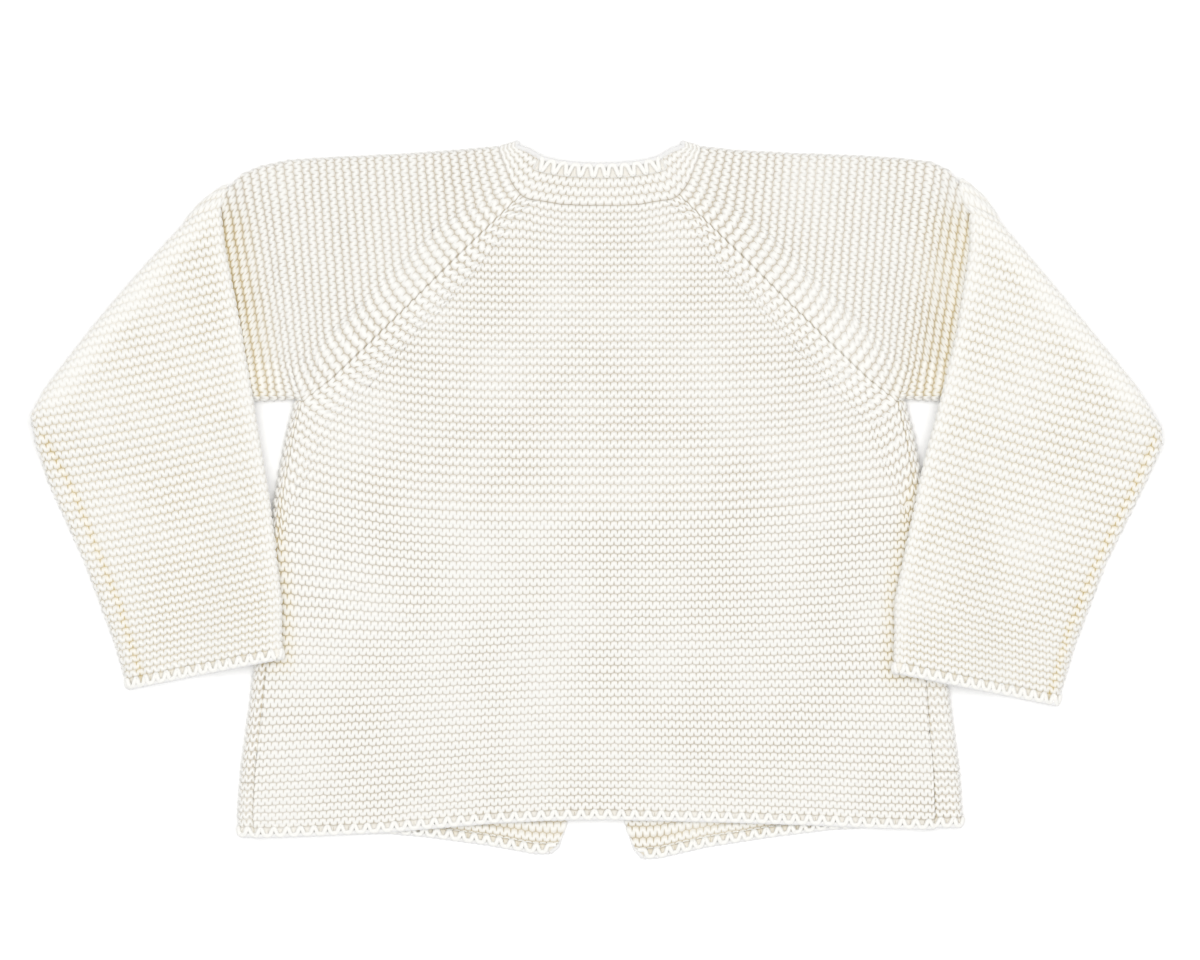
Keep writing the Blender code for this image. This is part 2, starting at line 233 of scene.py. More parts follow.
def run(place, normal, ridge, stitch, fine=1.0, relief=1.0, phase=None, warm=0.0):
    """Columns of a shell: places and normals (rows, columns, 3), with each point's ridge and stitch.

    The last argument is from 0 to 1 where golden shade is painted in folds, seams' grooves and under
    the back's hem, and below 0 where the knit is stretched soft and its hollows get less painted shade.
    """
    full = lambda value: np.broadcast_to(np.asarray(value, float), place.shape[:2])
    ridge = np.asarray(ridge, float)
    return dict(
        place=place.astype(float),
        normal=np.broadcast_to(normal, place.shape),
        ridge=full(ridge[:, None] if ridge.ndim == 1 else ridge),
        stitch=full(stitch),
        phase=full(stitch if phase is None else phase),
        fine=full(fine),
        relief=full(relief),
        warm=full(warm),
    )


def turned_back(part):
    return {key: value[:, ::-1] for key, value in part.items()}


def without_first(part):
    return {key: value[:, 1:] for key, value in part.items()}


def at(xy, z):
    """Places (…, 3) from (…, 2) and heights."""
    return np.concatenate([xy, np.broadcast_to(np.asarray(z, float), xy.shape[:-1])[..., None]], -1)


UP = np.array([0.0, 0.0, 1.0])
print("unevenness of four stitches:", uneven(np.zeros(4), np.arange(4.0)).round(2))


# %% The shell that is made of runs
PIECES = {}
TURNED_IN, TURNED_DEPTH = 10, 1.35  # a hem's end is turned in by grid rows, and so deep


def shell(name, runs, seed=0, across=0):
    """A knitted piece whose rows are closed loops. across is 1 where the ridges run along the rows."""
    part = {key: np.concatenate([r[key] for r in runs], 1) for key in runs[0]}
    part = {key: np.concatenate([value, value[:, :1]], 1) for key, value in part.items()}
    place, ridge, fine = part["place"], part["ridge"], part["fine"]
    turn = np.cos(2 * np.pi * part["phase"]) * fine
    bare = ridge < 0  # the panel under the zigzag has no ridges of its own
    height = np.where(bare, 0.2 + 0.1 * turn, garter(turn, ridge))
    bumps = uneven(2 * ridge + seed, 2 * part["stitch"] + 3 * seed)
    height = height * (1 + 0.07 * fine * bumps)
    # the grooves are wavy, because the arches of one ridge reach between the arches of the next
    step = np.gradient(ridge, axis=across)
    pitch = np.gradient(place, axis=across) / np.where(np.abs(step) < 0.01, np.inf, step)[..., None]
    pitch *= np.minimum(1, 5 / np.maximum(np.linalg.norm(pitch, axis=-1, keepdims=True), 0.1))
    shift = 0.05 * turn + 0.04 * fine * uneven(ridge + 40, part["stitch"] + 7 * seed)
    from_ends = np.minimum(np.abs(ridge - ridge.min()), np.abs(ridge.max() - ridge))
    shift = shift * smooth(0.0, 0.6, from_ends)
    place = place + pitch * (shift * ~bare)[..., None]
    place = place - part["normal"] * (RELIEF * (1 - height) * part["relief"])[..., None]
    # the bare panel reads as lying near a groove, so the shader paints hollow shade on it, as on the panel
    # between the zigzag's teeth
    knit = np.stack([np.where(bare, -0.7 * turn, turn), np.where(bare, 0.07, ridge), part["warm"]], -1)
    if bare[0].all() and not across:  # a hem turns in on itself, so its end closes inside the cloth
        inside = (part["place"] - part["normal"] * TURNED_DEPTH)[[TURNED_IN, 0]]
        place, knit = np.concatenate([inside, place]), np.concatenate([knit[[0, 0]], knit])
    knitted_mesh(name, place, knit)


print("a hem is turned in by", TURNED_IN, "grid rows")


# %% From a grid to a closed mesh
MERGED = 0.02


def into_scene(name, data):
    """An object for a mesh, a lamp or a camera."""
    made = bpy.data.objects.new(name, data)
    bpy.context.scene.collection.objects.link(made)
    return made


def knitted_mesh(name, place, knit):
    """Moves a grid's vertices to their places and closes it into a solid piece."""
    rows, columns = place.shape[:2]
    sheet = bmesh.new()
    bmesh.ops.create_grid(sheet, x_segments=columns - 1, y_segments=rows - 1, size=0.5)
    mesh = bpy.data.meshes.new(name)
    sheet.to_mesh(mesh)
    flat = np.empty(len(mesh.vertices) * 3)
    mesh.vertices.foreach_get("co", flat)
    flat = flat.reshape(-1, 3)
    column = np.rint((flat[:, 0] + 0.5) * (columns - 1)).astype(int)
    row = np.rint((flat[:, 1] + 0.5) * (rows - 1)).astype(int)
    place[..., 2] = np.maximum(place[..., 2], 0.0)  # what lies on the floor is flat there
    mesh.vertices.foreach_set("co", ((place[row, column] + [LAID_X, LAID_Y, 0]) * MM).ravel())
    attribute = mesh.attributes.new("knit", "FLOAT_VECTOR", "POINT")
    attribute.data.foreach_set("vector", knit[row, column].astype(np.float32).ravel())
    sheet.clear()
    sheet.from_mesh(mesh)
    bmesh.ops.remove_doubles(sheet, verts=sheet.verts, dist=MERGED * MM)
    bmesh.ops.dissolve_degenerate(sheet, edges=sheet.edges, dist=0.004 * MM)
    ends = [edge for edge in sheet.edges if edge.is_boundary]
    bmesh.ops.holes_fill(sheet, edges=ends, sides=0)
    bmesh.ops.recalc_face_normals(sheet, faces=sheet.faces)
    for face in sheet.faces:
        face.smooth = True
    for edge in ends:
        edge.smooth = False
    sheet.to_mesh(mesh)
    PIECES[name] = into_scene(name, mesh)
    loose = sum(not edge.is_manifold for edge in sheet.edges)
    print(name, sum(len(face.verts) - 2 for face in sheet.faces), "triangles,", loose, "loose edges")
    sheet.free()


print("vertices closer than", MERGED, "mm become one")

# %% [markdown]
# ## The zigzag edging
#
# The hem, the cuffs and the neck end in a crocheted zigzag of thicker yarn over a firm rolled rim.
# Each is a round yarn that follows a path: a grid is wrapped into a tube around it. A curve with a
# bevel could do that too, but the tube's thickness changes with its turns here. The panels are
# thinner under the zigzag, so that it stands on them as the real one does.


# %% A yarn that follows a path
def yarn(name, path, normal, radius, sides=7):
    """A round yarn along a path. normal points away from the cloth, and radius may vary."""
    ahead = np.gradient(path, axis=0)
    ahead /= np.linalg.norm(ahead, axis=1)[:, None]
    side = np.cross(ahead, normal)
    side /= np.linalg.norm(side, axis=1)[:, None]
    up = np.cross(side, ahead)
    angle = np.linspace(0, 2 * math.pi, sides + 1)
    ring = up[:, None] * np.cos(angle)[:, None] + side[:, None] * np.sin(angle)[:, None]
    place = path[:, None] + ring * np.broadcast_to(radius, len(path))[:, None, None]
    knit = np.stack(np.broadcast_arrays(0.0, 0.5, np.zeros(place.shape[:2])), -1)
    knitted_mesh(name, place, knit)


def resampled(line, step):
    """A line's points at even steps, and how far along each lies. Only three columns are places."""
    far = np.r_[0, np.cumsum(np.linalg.norm(np.diff(line[:, :3], axis=0), axis=1))]
    where = np.linspace(0, far[-1], max(int(round(far[-1] / step)), 4))
    return np.stack([np.interp(where, far, line[:, k]) for k in range(line.shape[1])], -1), where


print("steps of about 3 mm on a line of 10:", resampled(np.array([[0.0, 0, 0], [10, 0, 0]]), 3.0)[1])

# %% The zigzag and the rim
EDGING_WIDTH = 4.3  # millimetres from the last ridge to the rim's outer edge
CUT_BACK = 0.82  # the panel's own share of that
RIM, ZIGZAG = 1.0, 0.95  # radii of the two yarns
TOOTH = {"hem": 5.4, "front": 5.2, "cuff": 4.4, "neck": 4.9}  # from one tooth to the next
MEASURED = 0.36  # the step at which a panel's edge is measured for its edging


def edge_lines(runs):
    """Along a panel's first row: places on the rim, on the last ridge's edge, and the normals."""
    join = lambda key, row: np.concatenate([r[key][row] for r in runs])
    outer, inner = join("place", 0), join("place", 4)
    outer = lerp(inner, outer, (1 - RIM / EDGING_WIDTH) / CUT_BACK)
    both, far = resampled(np.hstack([outer, inner, join("normal", 4)]), MEASURED)
    normal = both[:, 6:]
    return both[:, :3], both[:, 3:6], normal / np.linalg.norm(normal, axis=1)[:, None], far


def zigzag(name, lines, pitch, half=0.0):
    """The zigzag: each tooth rises steeply from the rim, turns in a round tip and comes down again.

    half is 0.5 where the last stroke runs up along a slanted end.
    """
    both, far = resampled(np.hstack(lines[:3]), 0.1)
    outer, inner, normal = both[:, :3], both[:, 3:6], both[:, 6:]
    phase = far / far[-1] * (max(round(far[-1] / pitch), 1) + half)
    swing = np.tanh(1.2 * ((1 - np.cos(2 * np.pi * phase)) / 2) ** 3) / np.tanh(1.2)
    lift = 0.25 * np.sin(np.pi * swing) - 0.25
    path = lerp(outer, inner, (0.04 + 0.84 * swing)[:, None]) + normal * lift[:, None]
    radius = ZIGZAG * (1 + 0.08 * np.sin(2 * np.pi * phase + 0.7))
    path, _ = resampled(np.hstack([path, normal, radius[:, None]]), 0.45)
    yarn(f"{name}_zigzag", path[:, :3], path[:, 3:6], path[:, 6])


def rim(name, lines, pitch):
    outer, _, normal, far = lines
    phase = far / far[-1] * max(round(far[-1] / pitch), 1)
    yarn(f"{name}_rim", outer - normal * RIM, normal, RIM * (1.05 + 0.10 * np.cos(4 * np.pi * phase)))


def edging(name, runs, pitch):
    lines = edge_lines(runs)
    zigzag(name, lines, pitch)
    rim(name, lines, pitch)


print("an edging is", EDGING_WIDTH, "mm wide")

# %% [markdown]
# ## The back: where its ridges run
#
# The ridges lie level in the middle. In the upper half they climb towards the raglans, and in the
# last five stitches they turn to meet the seam squarely, because the decreases are made there. In
# the lower half they hang a little, as the hem does. The table says how steep a ridge is at three
# distances from the centre. A cloth simulation would blur such rows, so they are laid one by one.

# %% The back's ridges
LEVELS = np.array([(0, -123.6), (9, -97.4), (21, -59.6), (36, -11.6), (46, 23.5)], float)  # ridge, up
BODY_RIDGES, YOKE_RIDGES = 46, 30
EDGING = 1.35  # the zigzag edging takes the place of this many ridges
EDGING_ROWS = np.array([-CUT_BACK, -0.6, -0.4, -0.2])  # the panel's rows there
LEANS = {  # up, then degrees at 34, 68 and 104 mm out
    "left": np.array(
        [(-126, -2.9, -4.4, -2.9), (-104, -2.6, -4.2, -3.0), (-80, -2.7, -2.6, -1.8), (-52, -3.0, -1.6, 2.7)]
        + [(-24, -0.5, 3.0, 10.0), (4, 0, 3.9, 13.6), (32, 0, 4.5, 14.5), (118, 0.5, 4, 12)]
    ),
    "right": np.array(
        [(-126, -1.2, -1.9, -1.8), (-104, -0.8, -0.8, -1.6), (-80, 0, 0.9, -1.0), (-52, 0.9, 1.8, 3.9)]
        + [(-24, 0.9, 2.7, 4.8), (4, 0.9, 4.4, 6.8), (32, 0.2, 3.5, 14), (118, 0.5, 4, 12)]
    ),
}
LEAN_AT = (0.0, 34.0, 68.0, 104.0, 150.0)


def climb(side, out, level):
    """How far a ridge whose middle is at a level has climbed at a distance out, and its slope."""
    table = LEANS[side]
    slopes = [np.tan(np.radians(np.interp(level, table[:, 0], table[:, k]))) for k in (1, 2, 3)]
    steps = [np.zeros_like(level), *slopes, slopes[-1]]
    rise, slope = 0.0, steps[-1]
    for k in range(4):
        width = LEAN_AT[k + 1] - LEAN_AT[k]
        t = np.clip((out - LEAN_AT[k]) / width, 0, 1)
        rise = rise + width * (steps[k] * t + (steps[k + 1] - steps[k]) * t * t / 2)
        inside = (out >= LEAN_AT[k]) & (out < LEAN_AT[k + 1])
        slope = np.where(inside, lerp(steps[k], steps[k + 1], t), slope)
    return rise, slope


climbed = climb("left", np.array([100.0]), np.array([0.0]))[0]
print("at 100 mm out the left side's middle ridge has climbed", climbed.round(1), "mm")


# %% Where the back's ridges end
def side_seam(side, up):
    """The side seam lies a little way in from the body's side, because the front wraps round it."""
    strip = lerp(*SIDES[side]["strip"], smooth(-140.0, UNDERARM_UP, up))
    return out_at(BODY_SIDE, up) - strip


MARGIN = np.array([12.0, 8.0])  # from where a ridge starts to turn to the raglan seam
MARGIN_STITCHES = 5
ACROSS_RAGLAN = np.array([0.70, 0.714])  # the way outwards across the seam
HAIR = 0.012  # half the room that is left between two panels at a seam


def raglan_spot(share, way=-1):
    """A point of the raglan seam, a hair's breadth inwards (-1) or outwards (1)."""
    return along(RAGLAN, share) + way * HAIR


def back_ends(side, ridges):
    """For each ridge: its level at the centre, where it starts to turn, and its end at the seam."""
    share = np.clip((ridges - BODY_RIDGES) / YOKE_RIDGES, 0, 1)
    turn = np.where(ridges >= BODY_RIDGES, lerp(1.0, 0.6, share**0.8), smooth(28.0, 46.0, ridges))
    turn = np.maximum(turn, 0.002)[:, None]
    level, seam = np.full(len(ridges), 20.0), raglan_spot(share)
    for _ in range(8):  # each round brings levels and ends closer to one another
        start = seam - MARGIN * turn
        yoke = start[:, 1] - climb(side, start[:, 0], level)[0]
        levels = np.r_[LEVELS[:-1, 1], yoke[np.searchsorted(ridges, BODY_RIDGES)]]
        body = np.interp(ridges, LEVELS[:, 0], levels)
        level = np.where(ridges >= BODY_RIDGES, yoke, body)
        up = level + climb(side, start[:, 0], level)[0] + (MARGIN * turn)[:, 1]
        low = np.stack([side_seam(side, up) - HAIR, up], -1)
        seam = np.where((ridges >= BODY_RIDGES)[:, None], raglan_spot(share), low)
    return level, seam - MARGIN * turn, seam


ALL_RIDGES = ridge_rows(0, BODY_RIDGES + YOKE_RIDGES)
BACK = {side: back_ends(side, ALL_RIDGES) for side in SIDES}
MIDDLE_LEVELS = BACK["left"][0] * 0.5 + BACK["right"][0] * 0.5  # at the centre, between the two sides
every_tenth = slice(None, None, ROWS * 10)
print("levels", BACK["left"][0][every_tenth].round(1))
print("seam", BACK["left"][2][every_tenth].round(1).tolist())


# %% The margins, which turn to the seam
def to_seam(start, heading, square, end):
    """A margin: from where a ridge starts to turn to its end at the seam, which it meets squarely."""
    gap = end - start
    cross = heading[:, 0] * square[1] - heading[:, 1] * square[0]
    cross = np.where(np.abs(cross) < 0.05, 0.05, cross)
    reach = (gap[:, 0] * square[1] - gap[:, 1] * square[0]) / cross
    reach = np.clip(reach, 0, 0.75 * np.hypot(*gap.T))
    t = np.arange(1, MARGIN_STITCHES * FINE + 1) / (MARGIN_STITCHES * FINE)
    curve = bezier(start, start + heading * reach[:, None], end, np.tile(t, (len(start), 1)))
    return curve, t * MARGIN_STITCHES


def margin_phase(last, extra, margin):
    """Stitches of an even width up to the seam, where the last one is whole."""
    reach = np.linalg.norm(margin[:, -1] - margin[:, 0], axis=-1)[:, None] * 1.06
    return last + (np.round(last + reach / STITCH) - last) * extra / extra[-1]


def margin_run(place, normal, ridges, stitch, extra, margin, relief, warm=0.0):
    """The columns of a margin, which go on from the last stitch of its row."""
    last = stitch[:, -1:]
    phase = margin_phase(last, extra, margin)
    return run(place, normal, ridges, last + extra, 1, relief, phase, warm)


print("a margin has", MARGIN_STITCHES * FINE, "columns")


# %% The cloth's own height, and the golden shade painted beside the folded-down sleeve
def undulate(xy, seed=0.0):
    """The cloth's own slow waves, in millimetres of height."""
    x, y = xy[..., 0], xy[..., 1]
    short = np.sin(x / 23 + 1.1 + seed) * np.sin(y / 19 + 0.7 * seed)
    return 0.22 * short + 0.12 * np.sin(x / 41 - y / 33)


def shade_beside_sleeve(side, xy):
    """How much golden shade is painted on the body, by how near it comes to the folded-down sleeve that lies on
    it, from 0 to 1.
    """
    line = SIDES[side]["inner"]
    gap = out_at(line, xy[..., 1]) - 2.5 - xy[..., 0]
    above_cuff = smooth(line[0, 1] - 8, line[0, 1] + 2, xy[..., 1])
    return 0.8 * smooth(7.0, 0.5, gap) * above_cuff * smooth(36.0, 0.0, xy[..., 1])


print("the cloth's wave at the centre is", undulate(np.zeros((1, 2))).round(2), "mm high")


# %% The back's columns
def rows_of(side, ridges):
    """The back's middle level, start of margin and seam end at each ridge, and the edging below 0."""
    at_ridges = lambda line: np.interp(ridges, ALL_RIDGES, line)
    level, own = at_ridges(MIDDLE_LEVELS), at_ridges(BACK[side][0])
    start, seam = [np.stack([at_ridges(line) for line in ends.T], -1) for ends in BACK[side][1:]]
    drop = np.where(ridges < 0, (up_at(BACK_HEM, 0) - LEVELS[0, 1]) * -ridges / EDGING, 0)
    level, own = level + drop, own + drop
    seam[:, 1] += drop
    start[:, 1] += drop
    below = ridges < 0
    seam[below, 0] = side_seam(side, seam[below, 1]) - HAIR
    start[below, 0] = seam[below, 0]
    return level, own, start, seam


def heading_at(side, start, own):
    """Which way each ridge runs where its margin starts."""
    slope = climb(side, start[:, 0], own)[1]
    return np.stack([np.ones_like(slope), slope], -1)


def back_side(side, ridges):
    """The stitches from the centre to one side, and the turned margin beyond them."""
    level, own, start, seam = rows_of(side, ridges)
    flip = np.array([SIDES[side]["sign"], 1.0])
    stitches = np.arange(0, 50 * FINE + 1) / FINE
    width = (STITCH + 0.12 * smooth(-20.0, -128.0, level))[:, None]
    out = np.minimum(stitches * width, start[:, :1])
    ease = smooth(0.0, 1.0, out / start[:, :1])
    up = level[:, None] + climb(side, out, own[:, None])[0] + (own - level)[:, None] * ease
    hem = up_at(BACK_HEM, flip[0] * out) - up_at(BACK_HEM, 0)
    up = lerp(level[:, None] + hem, up, smooth(0.0, 9.0, ridges)[:, None])
    top = BODY_RIDGES + YOKE_RIDGES
    last = MIDDLE_LEVELS[-1] + climb(side, out, np.full_like(out, 118.0))[0]
    up = up + (up_at(NECK_SEAM, out) - last) * smooth(top - 9.0, top, ridges)[:, None]
    main = np.stack([out, up], -1)
    start = main[:, -1]
    margin, extra = to_seam(start, heading_at(side, start, own), ACROSS_RAGLAN, seam)
    return main, margin, np.minimum(stitches, start[:, :1] / width), extra


print("stitches to the left at the hem:", back_side("left", np.zeros(1))[2].max().round(1))


# %% Put the back together
def beside_seam(extra):
    """Of a margin's columns: how far they dip, their relief, and the golden shade painted along the seam's
    groove.
    """
    left = MARGIN_STITCHES - extra
    calm = lerp(0.55, 1.0, smooth(0.0, 0.6, left))
    return 0.2 * smooth(0.9, 0.0, left), calm, 0.3 * smooth(4.8, 5.0, extra)


def make_back(name, low, high):
    """The part of the back between two ridges. The hem's edging lies below ridge 0."""
    first, last = low - LAP * (low == SPLIT), high + LAP * (high == SPLIT)
    ridges = ALL_RIDGES[(ALL_RIDGES >= first) & (ALL_RIDGES <= last)]
    tucked = 0.3 * ((ridges < low) | (ridges > high))[:, None]
    if low == 0:
        tucked = np.r_[np.zeros((4, 1)), tucked]
        ridges = np.r_[EDGING_ROWS * EDGING, ridges]
    halves = []
    for side in SIDES:
        flip = np.array([SIDES[side]["sign"], 1.0])
        main, margin, stitch, extra = back_side(side, ridges)
        dip, calm, line = beside_seam(extra)
        z = STACK + PROUD - tucked
        place = at(main * flip, z + undulate(main * flip))
        # the body gets golden shade painted beside the folded-down sleeve, and its margin along the raglan
        # seam's groove
        top = run(place, UP, ridges, stitch, warm=shade_beside_sleeve(side, main))
        place = at(margin * flip, z + undulate(margin * flip) - dip)
        warm = np.maximum(line, shade_beside_sleeve(side, margin))
        turned = margin_run(place, UP, ridges, stitch, extra, margin, calm, warm)
        end = np.repeat(margin[:, -1:] * flip, 2, 1)
        outwards = np.array([flip[0] * 0.7, 0.7, 0])
        wall = run(at(end, np.array(WALL_TOP)), outwards, ridges, 0, 0, 0.3)
        spread = np.stack([margin[:, -1] * [0.97, 1], main[:, 80], main[:, 40], main[:, 0]], 1)
        under = run(at(spread * flip, LAYER + PROUD), -UP, ridges, 0, 0, 0.4)
        halves.append((top, turned, wall, under))
    (l_top, l_turned, l_wall, l_under), (r_top, r_turned, r_wall, r_under) = halves
    loop = [turned_back(l_turned), turned_back(l_top), without_first(r_top), r_turned, r_wall, r_under]
    if low == 0:
        edging("back_hem", loop[:4], TOOTH["hem"])
    shell(name, loop + [without_first(turned_back(l_under)), turned_back(l_wall)], 1)


SPLIT = 38  # the back is two shells, which lap under one another in a groove
LAP = 0.135  # by this share of a ridge
WALL_TOP = (3.6, 2.9)  # heights of the plain wall that closes a layer at its seam
make_back("back_body", 0, SPLIT)
make_back("back_yoke", SPLIT, BODY_RIDGES + YOKE_RIDGES)
print("the back has", BODY_RIDGES + YOKE_RIDGES, "ridges")

# %% [markdown]
# ## The sleeves
#
# Each sleeve is a tube that lies flat, with its ridges across the arm. Its upper part runs from the
# raglan out to a slanting fold. There the sleeve turns over and comes down on itself and on the
# body, so its lower part is a second pillow of two layers. The two parts are separate shells here,
# because nothing shows where they join inside the fold. Along the lower part's rolled edge the
# upper part lifts a little to meet it, as soft cloth does, so no dark gap opens there.


# %% Lines of a sleeve
def sleeve_lines(side):
    """The bowed fold, the lower part's outer boundary and the upper part's top boundary."""
    lines = SIDES[side]
    a, b = lines["fold"]
    way = (b - a) / np.hypot(*(b - a))
    outward = np.array([-way[1], way[0]])
    t = np.linspace(0, 1, 9)[:, None]
    fold = a + (b - a) * t + outward * (lines["bow"] * np.sin(np.pi * t) - lerp(*lines["tuck"], t))
    return fold, np.vstack([lines["outer"][:-1], fold[::-1]]), outward


def edge_frame(line, up):
    """Of a line that runs upwards: the points at heights, the ways along it and out from it."""
    spot = np.stack([out_at(line, up), up], -1)
    ahead = np.stack([out_at(line, up + 1.5) - out_at(line, up - 1.5), np.full_like(up, 3.0)], -1)
    ahead /= np.linalg.norm(ahead, axis=-1, keepdims=True)
    return spot, ahead, np.stack([ahead[..., 1], -ahead[..., 0]], -1)


def settle(xy):
    """How far a folded-down sleeve sinks where neither the body nor the sleeve is under it."""
    out, up = xy[..., 0], xy[..., 1]
    return DROP * smooth(3.0, 28.0, out - out_at(BODY_SIDE, up)) * smooth(2.0, 34.0, UNDERARM_UP - up)


def lower_top(xy):
    """Height of the folded-down sleeve's top, which is thicker where it slopes."""
    step = np.array([0.5, 0]), np.array([0, 0.5])
    here = settle(xy)
    slope = np.hypot(*[(settle(xy + move) - here) / 0.5 for move in step])
    return DROP - here + STACK * np.hypot(1, slope)


print("the left fold is", sleeve_lines("left")[0].round(1).tolist())


# %% Ridges of the lower part
PITCHES = {  # up, then millimetres from ridge to ridge
    "left": np.array([(-60, 2.9), (-44, 2.96), (-24, 3.2), (0, 3.44), (32, 3.45), (68, 3.6), (120, 3.6)]),
    "right": np.array([(-65, 2.9), (-44, 3.1), (-24, 3.26), (0, 3.6), (32, 3.66), (68, 3.8), (120, 3.8)]),
}
CUFF_EDGING, CUFF_WIDTH = 1.55, 4.9  # the cuff's edging in ridges and in millimetres


def inner_levels(side):
    """Where each ridge of the lower part starts at the sleeve's edge beside the body."""
    heights = [SIDES[side]["inner"][0, 1] + CUFF_WIDTH]
    while heights[-1] < SIDES[side]["inner"][-1, 1] - 1.5:
        heights.append(heights[-1] + np.interp(heights[-1], *PITCHES[side].T))
    return np.array(heights)


def lower_rows(side, ridges, step=0.35):
    """The ridges' ways over the lower part: points every step, and where each reaches the edge."""
    lines = SIDES[side]
    levels = inner_levels(side)
    first = np.interp(ridges, np.arange(len(levels)), levels)
    first = first + np.minimum(ridges, 0) * CUFF_WIDTH / CUFF_EDGING
    count = int(130 / step)
    far = np.arange(count) * step
    lean = np.radians(lerp(lines["lean"][0], lines["lean"][1], np.clip(far / 75, 0, 1)))[None]
    cuff = lines["outer"][0] - lines["inner"][0]
    lean = lerp(np.arctan2(-cuff[1], cuff[0]), lean, smooth(0.0, 12.0, ridges)[:, None])
    boundary = sleeve_lines(side)[1]
    inside = np.minimum(out_at(lines["inner"], first), out_at(boundary, first) - 0.3)
    start = np.stack([inside, first], -1)
    moves = np.stack([np.cos(lean), -np.sin(lean)], -1) * step
    path = start[:, None] + np.cumsum(moves, 1) - moves
    past = path[..., 0] - out_at(boundary, path[..., 1])
    index = np.maximum(np.argmax(past >= 0, 1), 1)
    picked = np.arange(len(ridges))
    before, after = past[picked, index - 1], past[picked, index]
    end = (index - 1 + np.clip(before / (before - after), 0, 1)) * step
    return far, path, end, moves / step


for side in SIDES:
    print(side, "lower sleeve:", len(inner_levels(side)) - 1, "ridges")

# %% The lower part's shell
NOSE_RIDGES = 3  # the rows that close the fold's upper corner
SLEEVE_STITCHES = 39
EDGE_STITCHES = 3  # a rolled edge goes round in this many stitches
UNDER_SHARES = (0.3, 0.6, 0.9)  # the coarse columns of a plain underside


def around(axis, out, level, radius, angle):
    """Places and normals over a rolled edge: angle 0 is on top and pi is underneath."""
    flat = axis + out * (radius * np.sin(angle))[..., None]
    normal = np.concatenate([out * np.sin(angle)[..., None], np.cos(angle)[..., None]], -1)
    return at(flat, level + radius * np.cos(angle)), normal


def roll_angle(steps, count):
    """How far round a rolled edge each column lies, the same for every row."""
    return np.minimum(steps * STITCH / EDGE, math.pi)[None] * np.ones((count, 1))


def flipped(side, part):
    """A part worked out for the right side, put where the side is."""
    flip = np.array([SIDES[side]["sign"], 1.0, 1.0])
    return {**part, "place": part["place"] * flip, "normal": part["normal"] * flip}


def with_nose(part, axis, tip, last):
    """Rows added past the last one, which close the fold's upper corner into a rounded end."""
    more = ridge_rows(0, NOSE_RIDGES)[1:]
    angle = (more / NOSE_RIDGES * math.pi / 2)[:, None]
    centre, reach = np.array([*axis, FOLD_RADIUS]), np.array([*tip, 0.0])
    place = centre + (part["place"][-1:] - centre) * np.cos(angle)[..., None] + reach * np.sin(angle)[..., None]
    way = reach / np.linalg.norm(reach)
    normal = part["normal"][-1:] * np.cos(angle)[..., None] + way * np.sin(angle)[..., None]
    rows = dict(place=place, normal=normal / np.linalg.norm(normal, axis=-1, keepdims=True))
    rows["ridge"] = last + np.broadcast_to(more[:, None], place.shape[:2])
    for key in ("stitch", "phase", "warm"):
        rows[key] = np.repeat(part[key][-1:], len(more), 0)
    for key in ("fine", "relief"):
        rows[key] = part[key][-1:] * np.cos(angle) ** 0.35
    return {key: np.concatenate([part[key], rows[key]]) for key in part}


print("a rolled edge is", round(math.pi * EDGE, 1), "mm round")


# %% The lower part's outer edge and its seam
def edge_radius(top, up):
    """Of the lower part's outer edge, which turns from a rolled edge into the thick fold."""
    return lerp(top / 2, EDGE, smooth(44.0, 26.0, up))


def over_edge(boundary, flat, going, end, stitches):
    """Takes the ridges on round the outer edge: places, normals, what is on top, whole lengths."""
    last, top = flat[:, -1], lower_top(flat)
    _, ahead, out = edge_frame(boundary, last[:, 1])
    outwards, sideways = (going * out).sum(-1), (going * ahead).sum(-1)
    radius = edge_radius(top[:, -1], last[:, 1])
    half_round = math.pi * radius / outwards
    over = np.clip(stitches * STITCH - end[:, None], 0, half_round[:, None])
    angle = over * (outwards / radius)[:, None]
    # on its way round the edge a ridge also moves along it, as a thread does on a screw
    moved = last[:, 1:] + over * (sideways * ahead[:, 1])[:, None] * smooth(2.6, 1.6, angle)
    axis, _, out = edge_frame(boundary, moved)
    axis_top = lower_top(axis)
    radius = edge_radius(axis_top, moved)
    place, normal = around(axis, out, axis_top - radius, radius, angle)
    on_top = over <= 0
    place = np.where(on_top[..., None], at(flat, top + undulate(flat, 2.0)), place)
    return place, np.where(on_top[..., None], UP, normal), on_top, end + half_round, out[:, -1]


def underarm_seam(side, flat, ridges, on_top):
    """How deep in the seam's groove each place lies, and how much the seam lifts or sinks it."""
    across_seam = flat[..., 0] - out_at(SIDES[side]["seam"], flat[..., 1])
    along_seam = smooth(32.0, 22.0, flat[..., 1]) * on_top
    wobble = 0.5 * np.sin(2 * np.pi * ridges)[:, None]
    groove = np.exp(-(((across_seam + wobble) / 1.5) ** 2)) * along_seam
    return groove, (0.35 * smooth(-0.5, 2.5, across_seam) - 1.3 * groove) * along_seam


print("radius of the edge below and of the fold:", edge_radius(2 * FOLD_RADIUS, np.array([0.0, 100.0])))


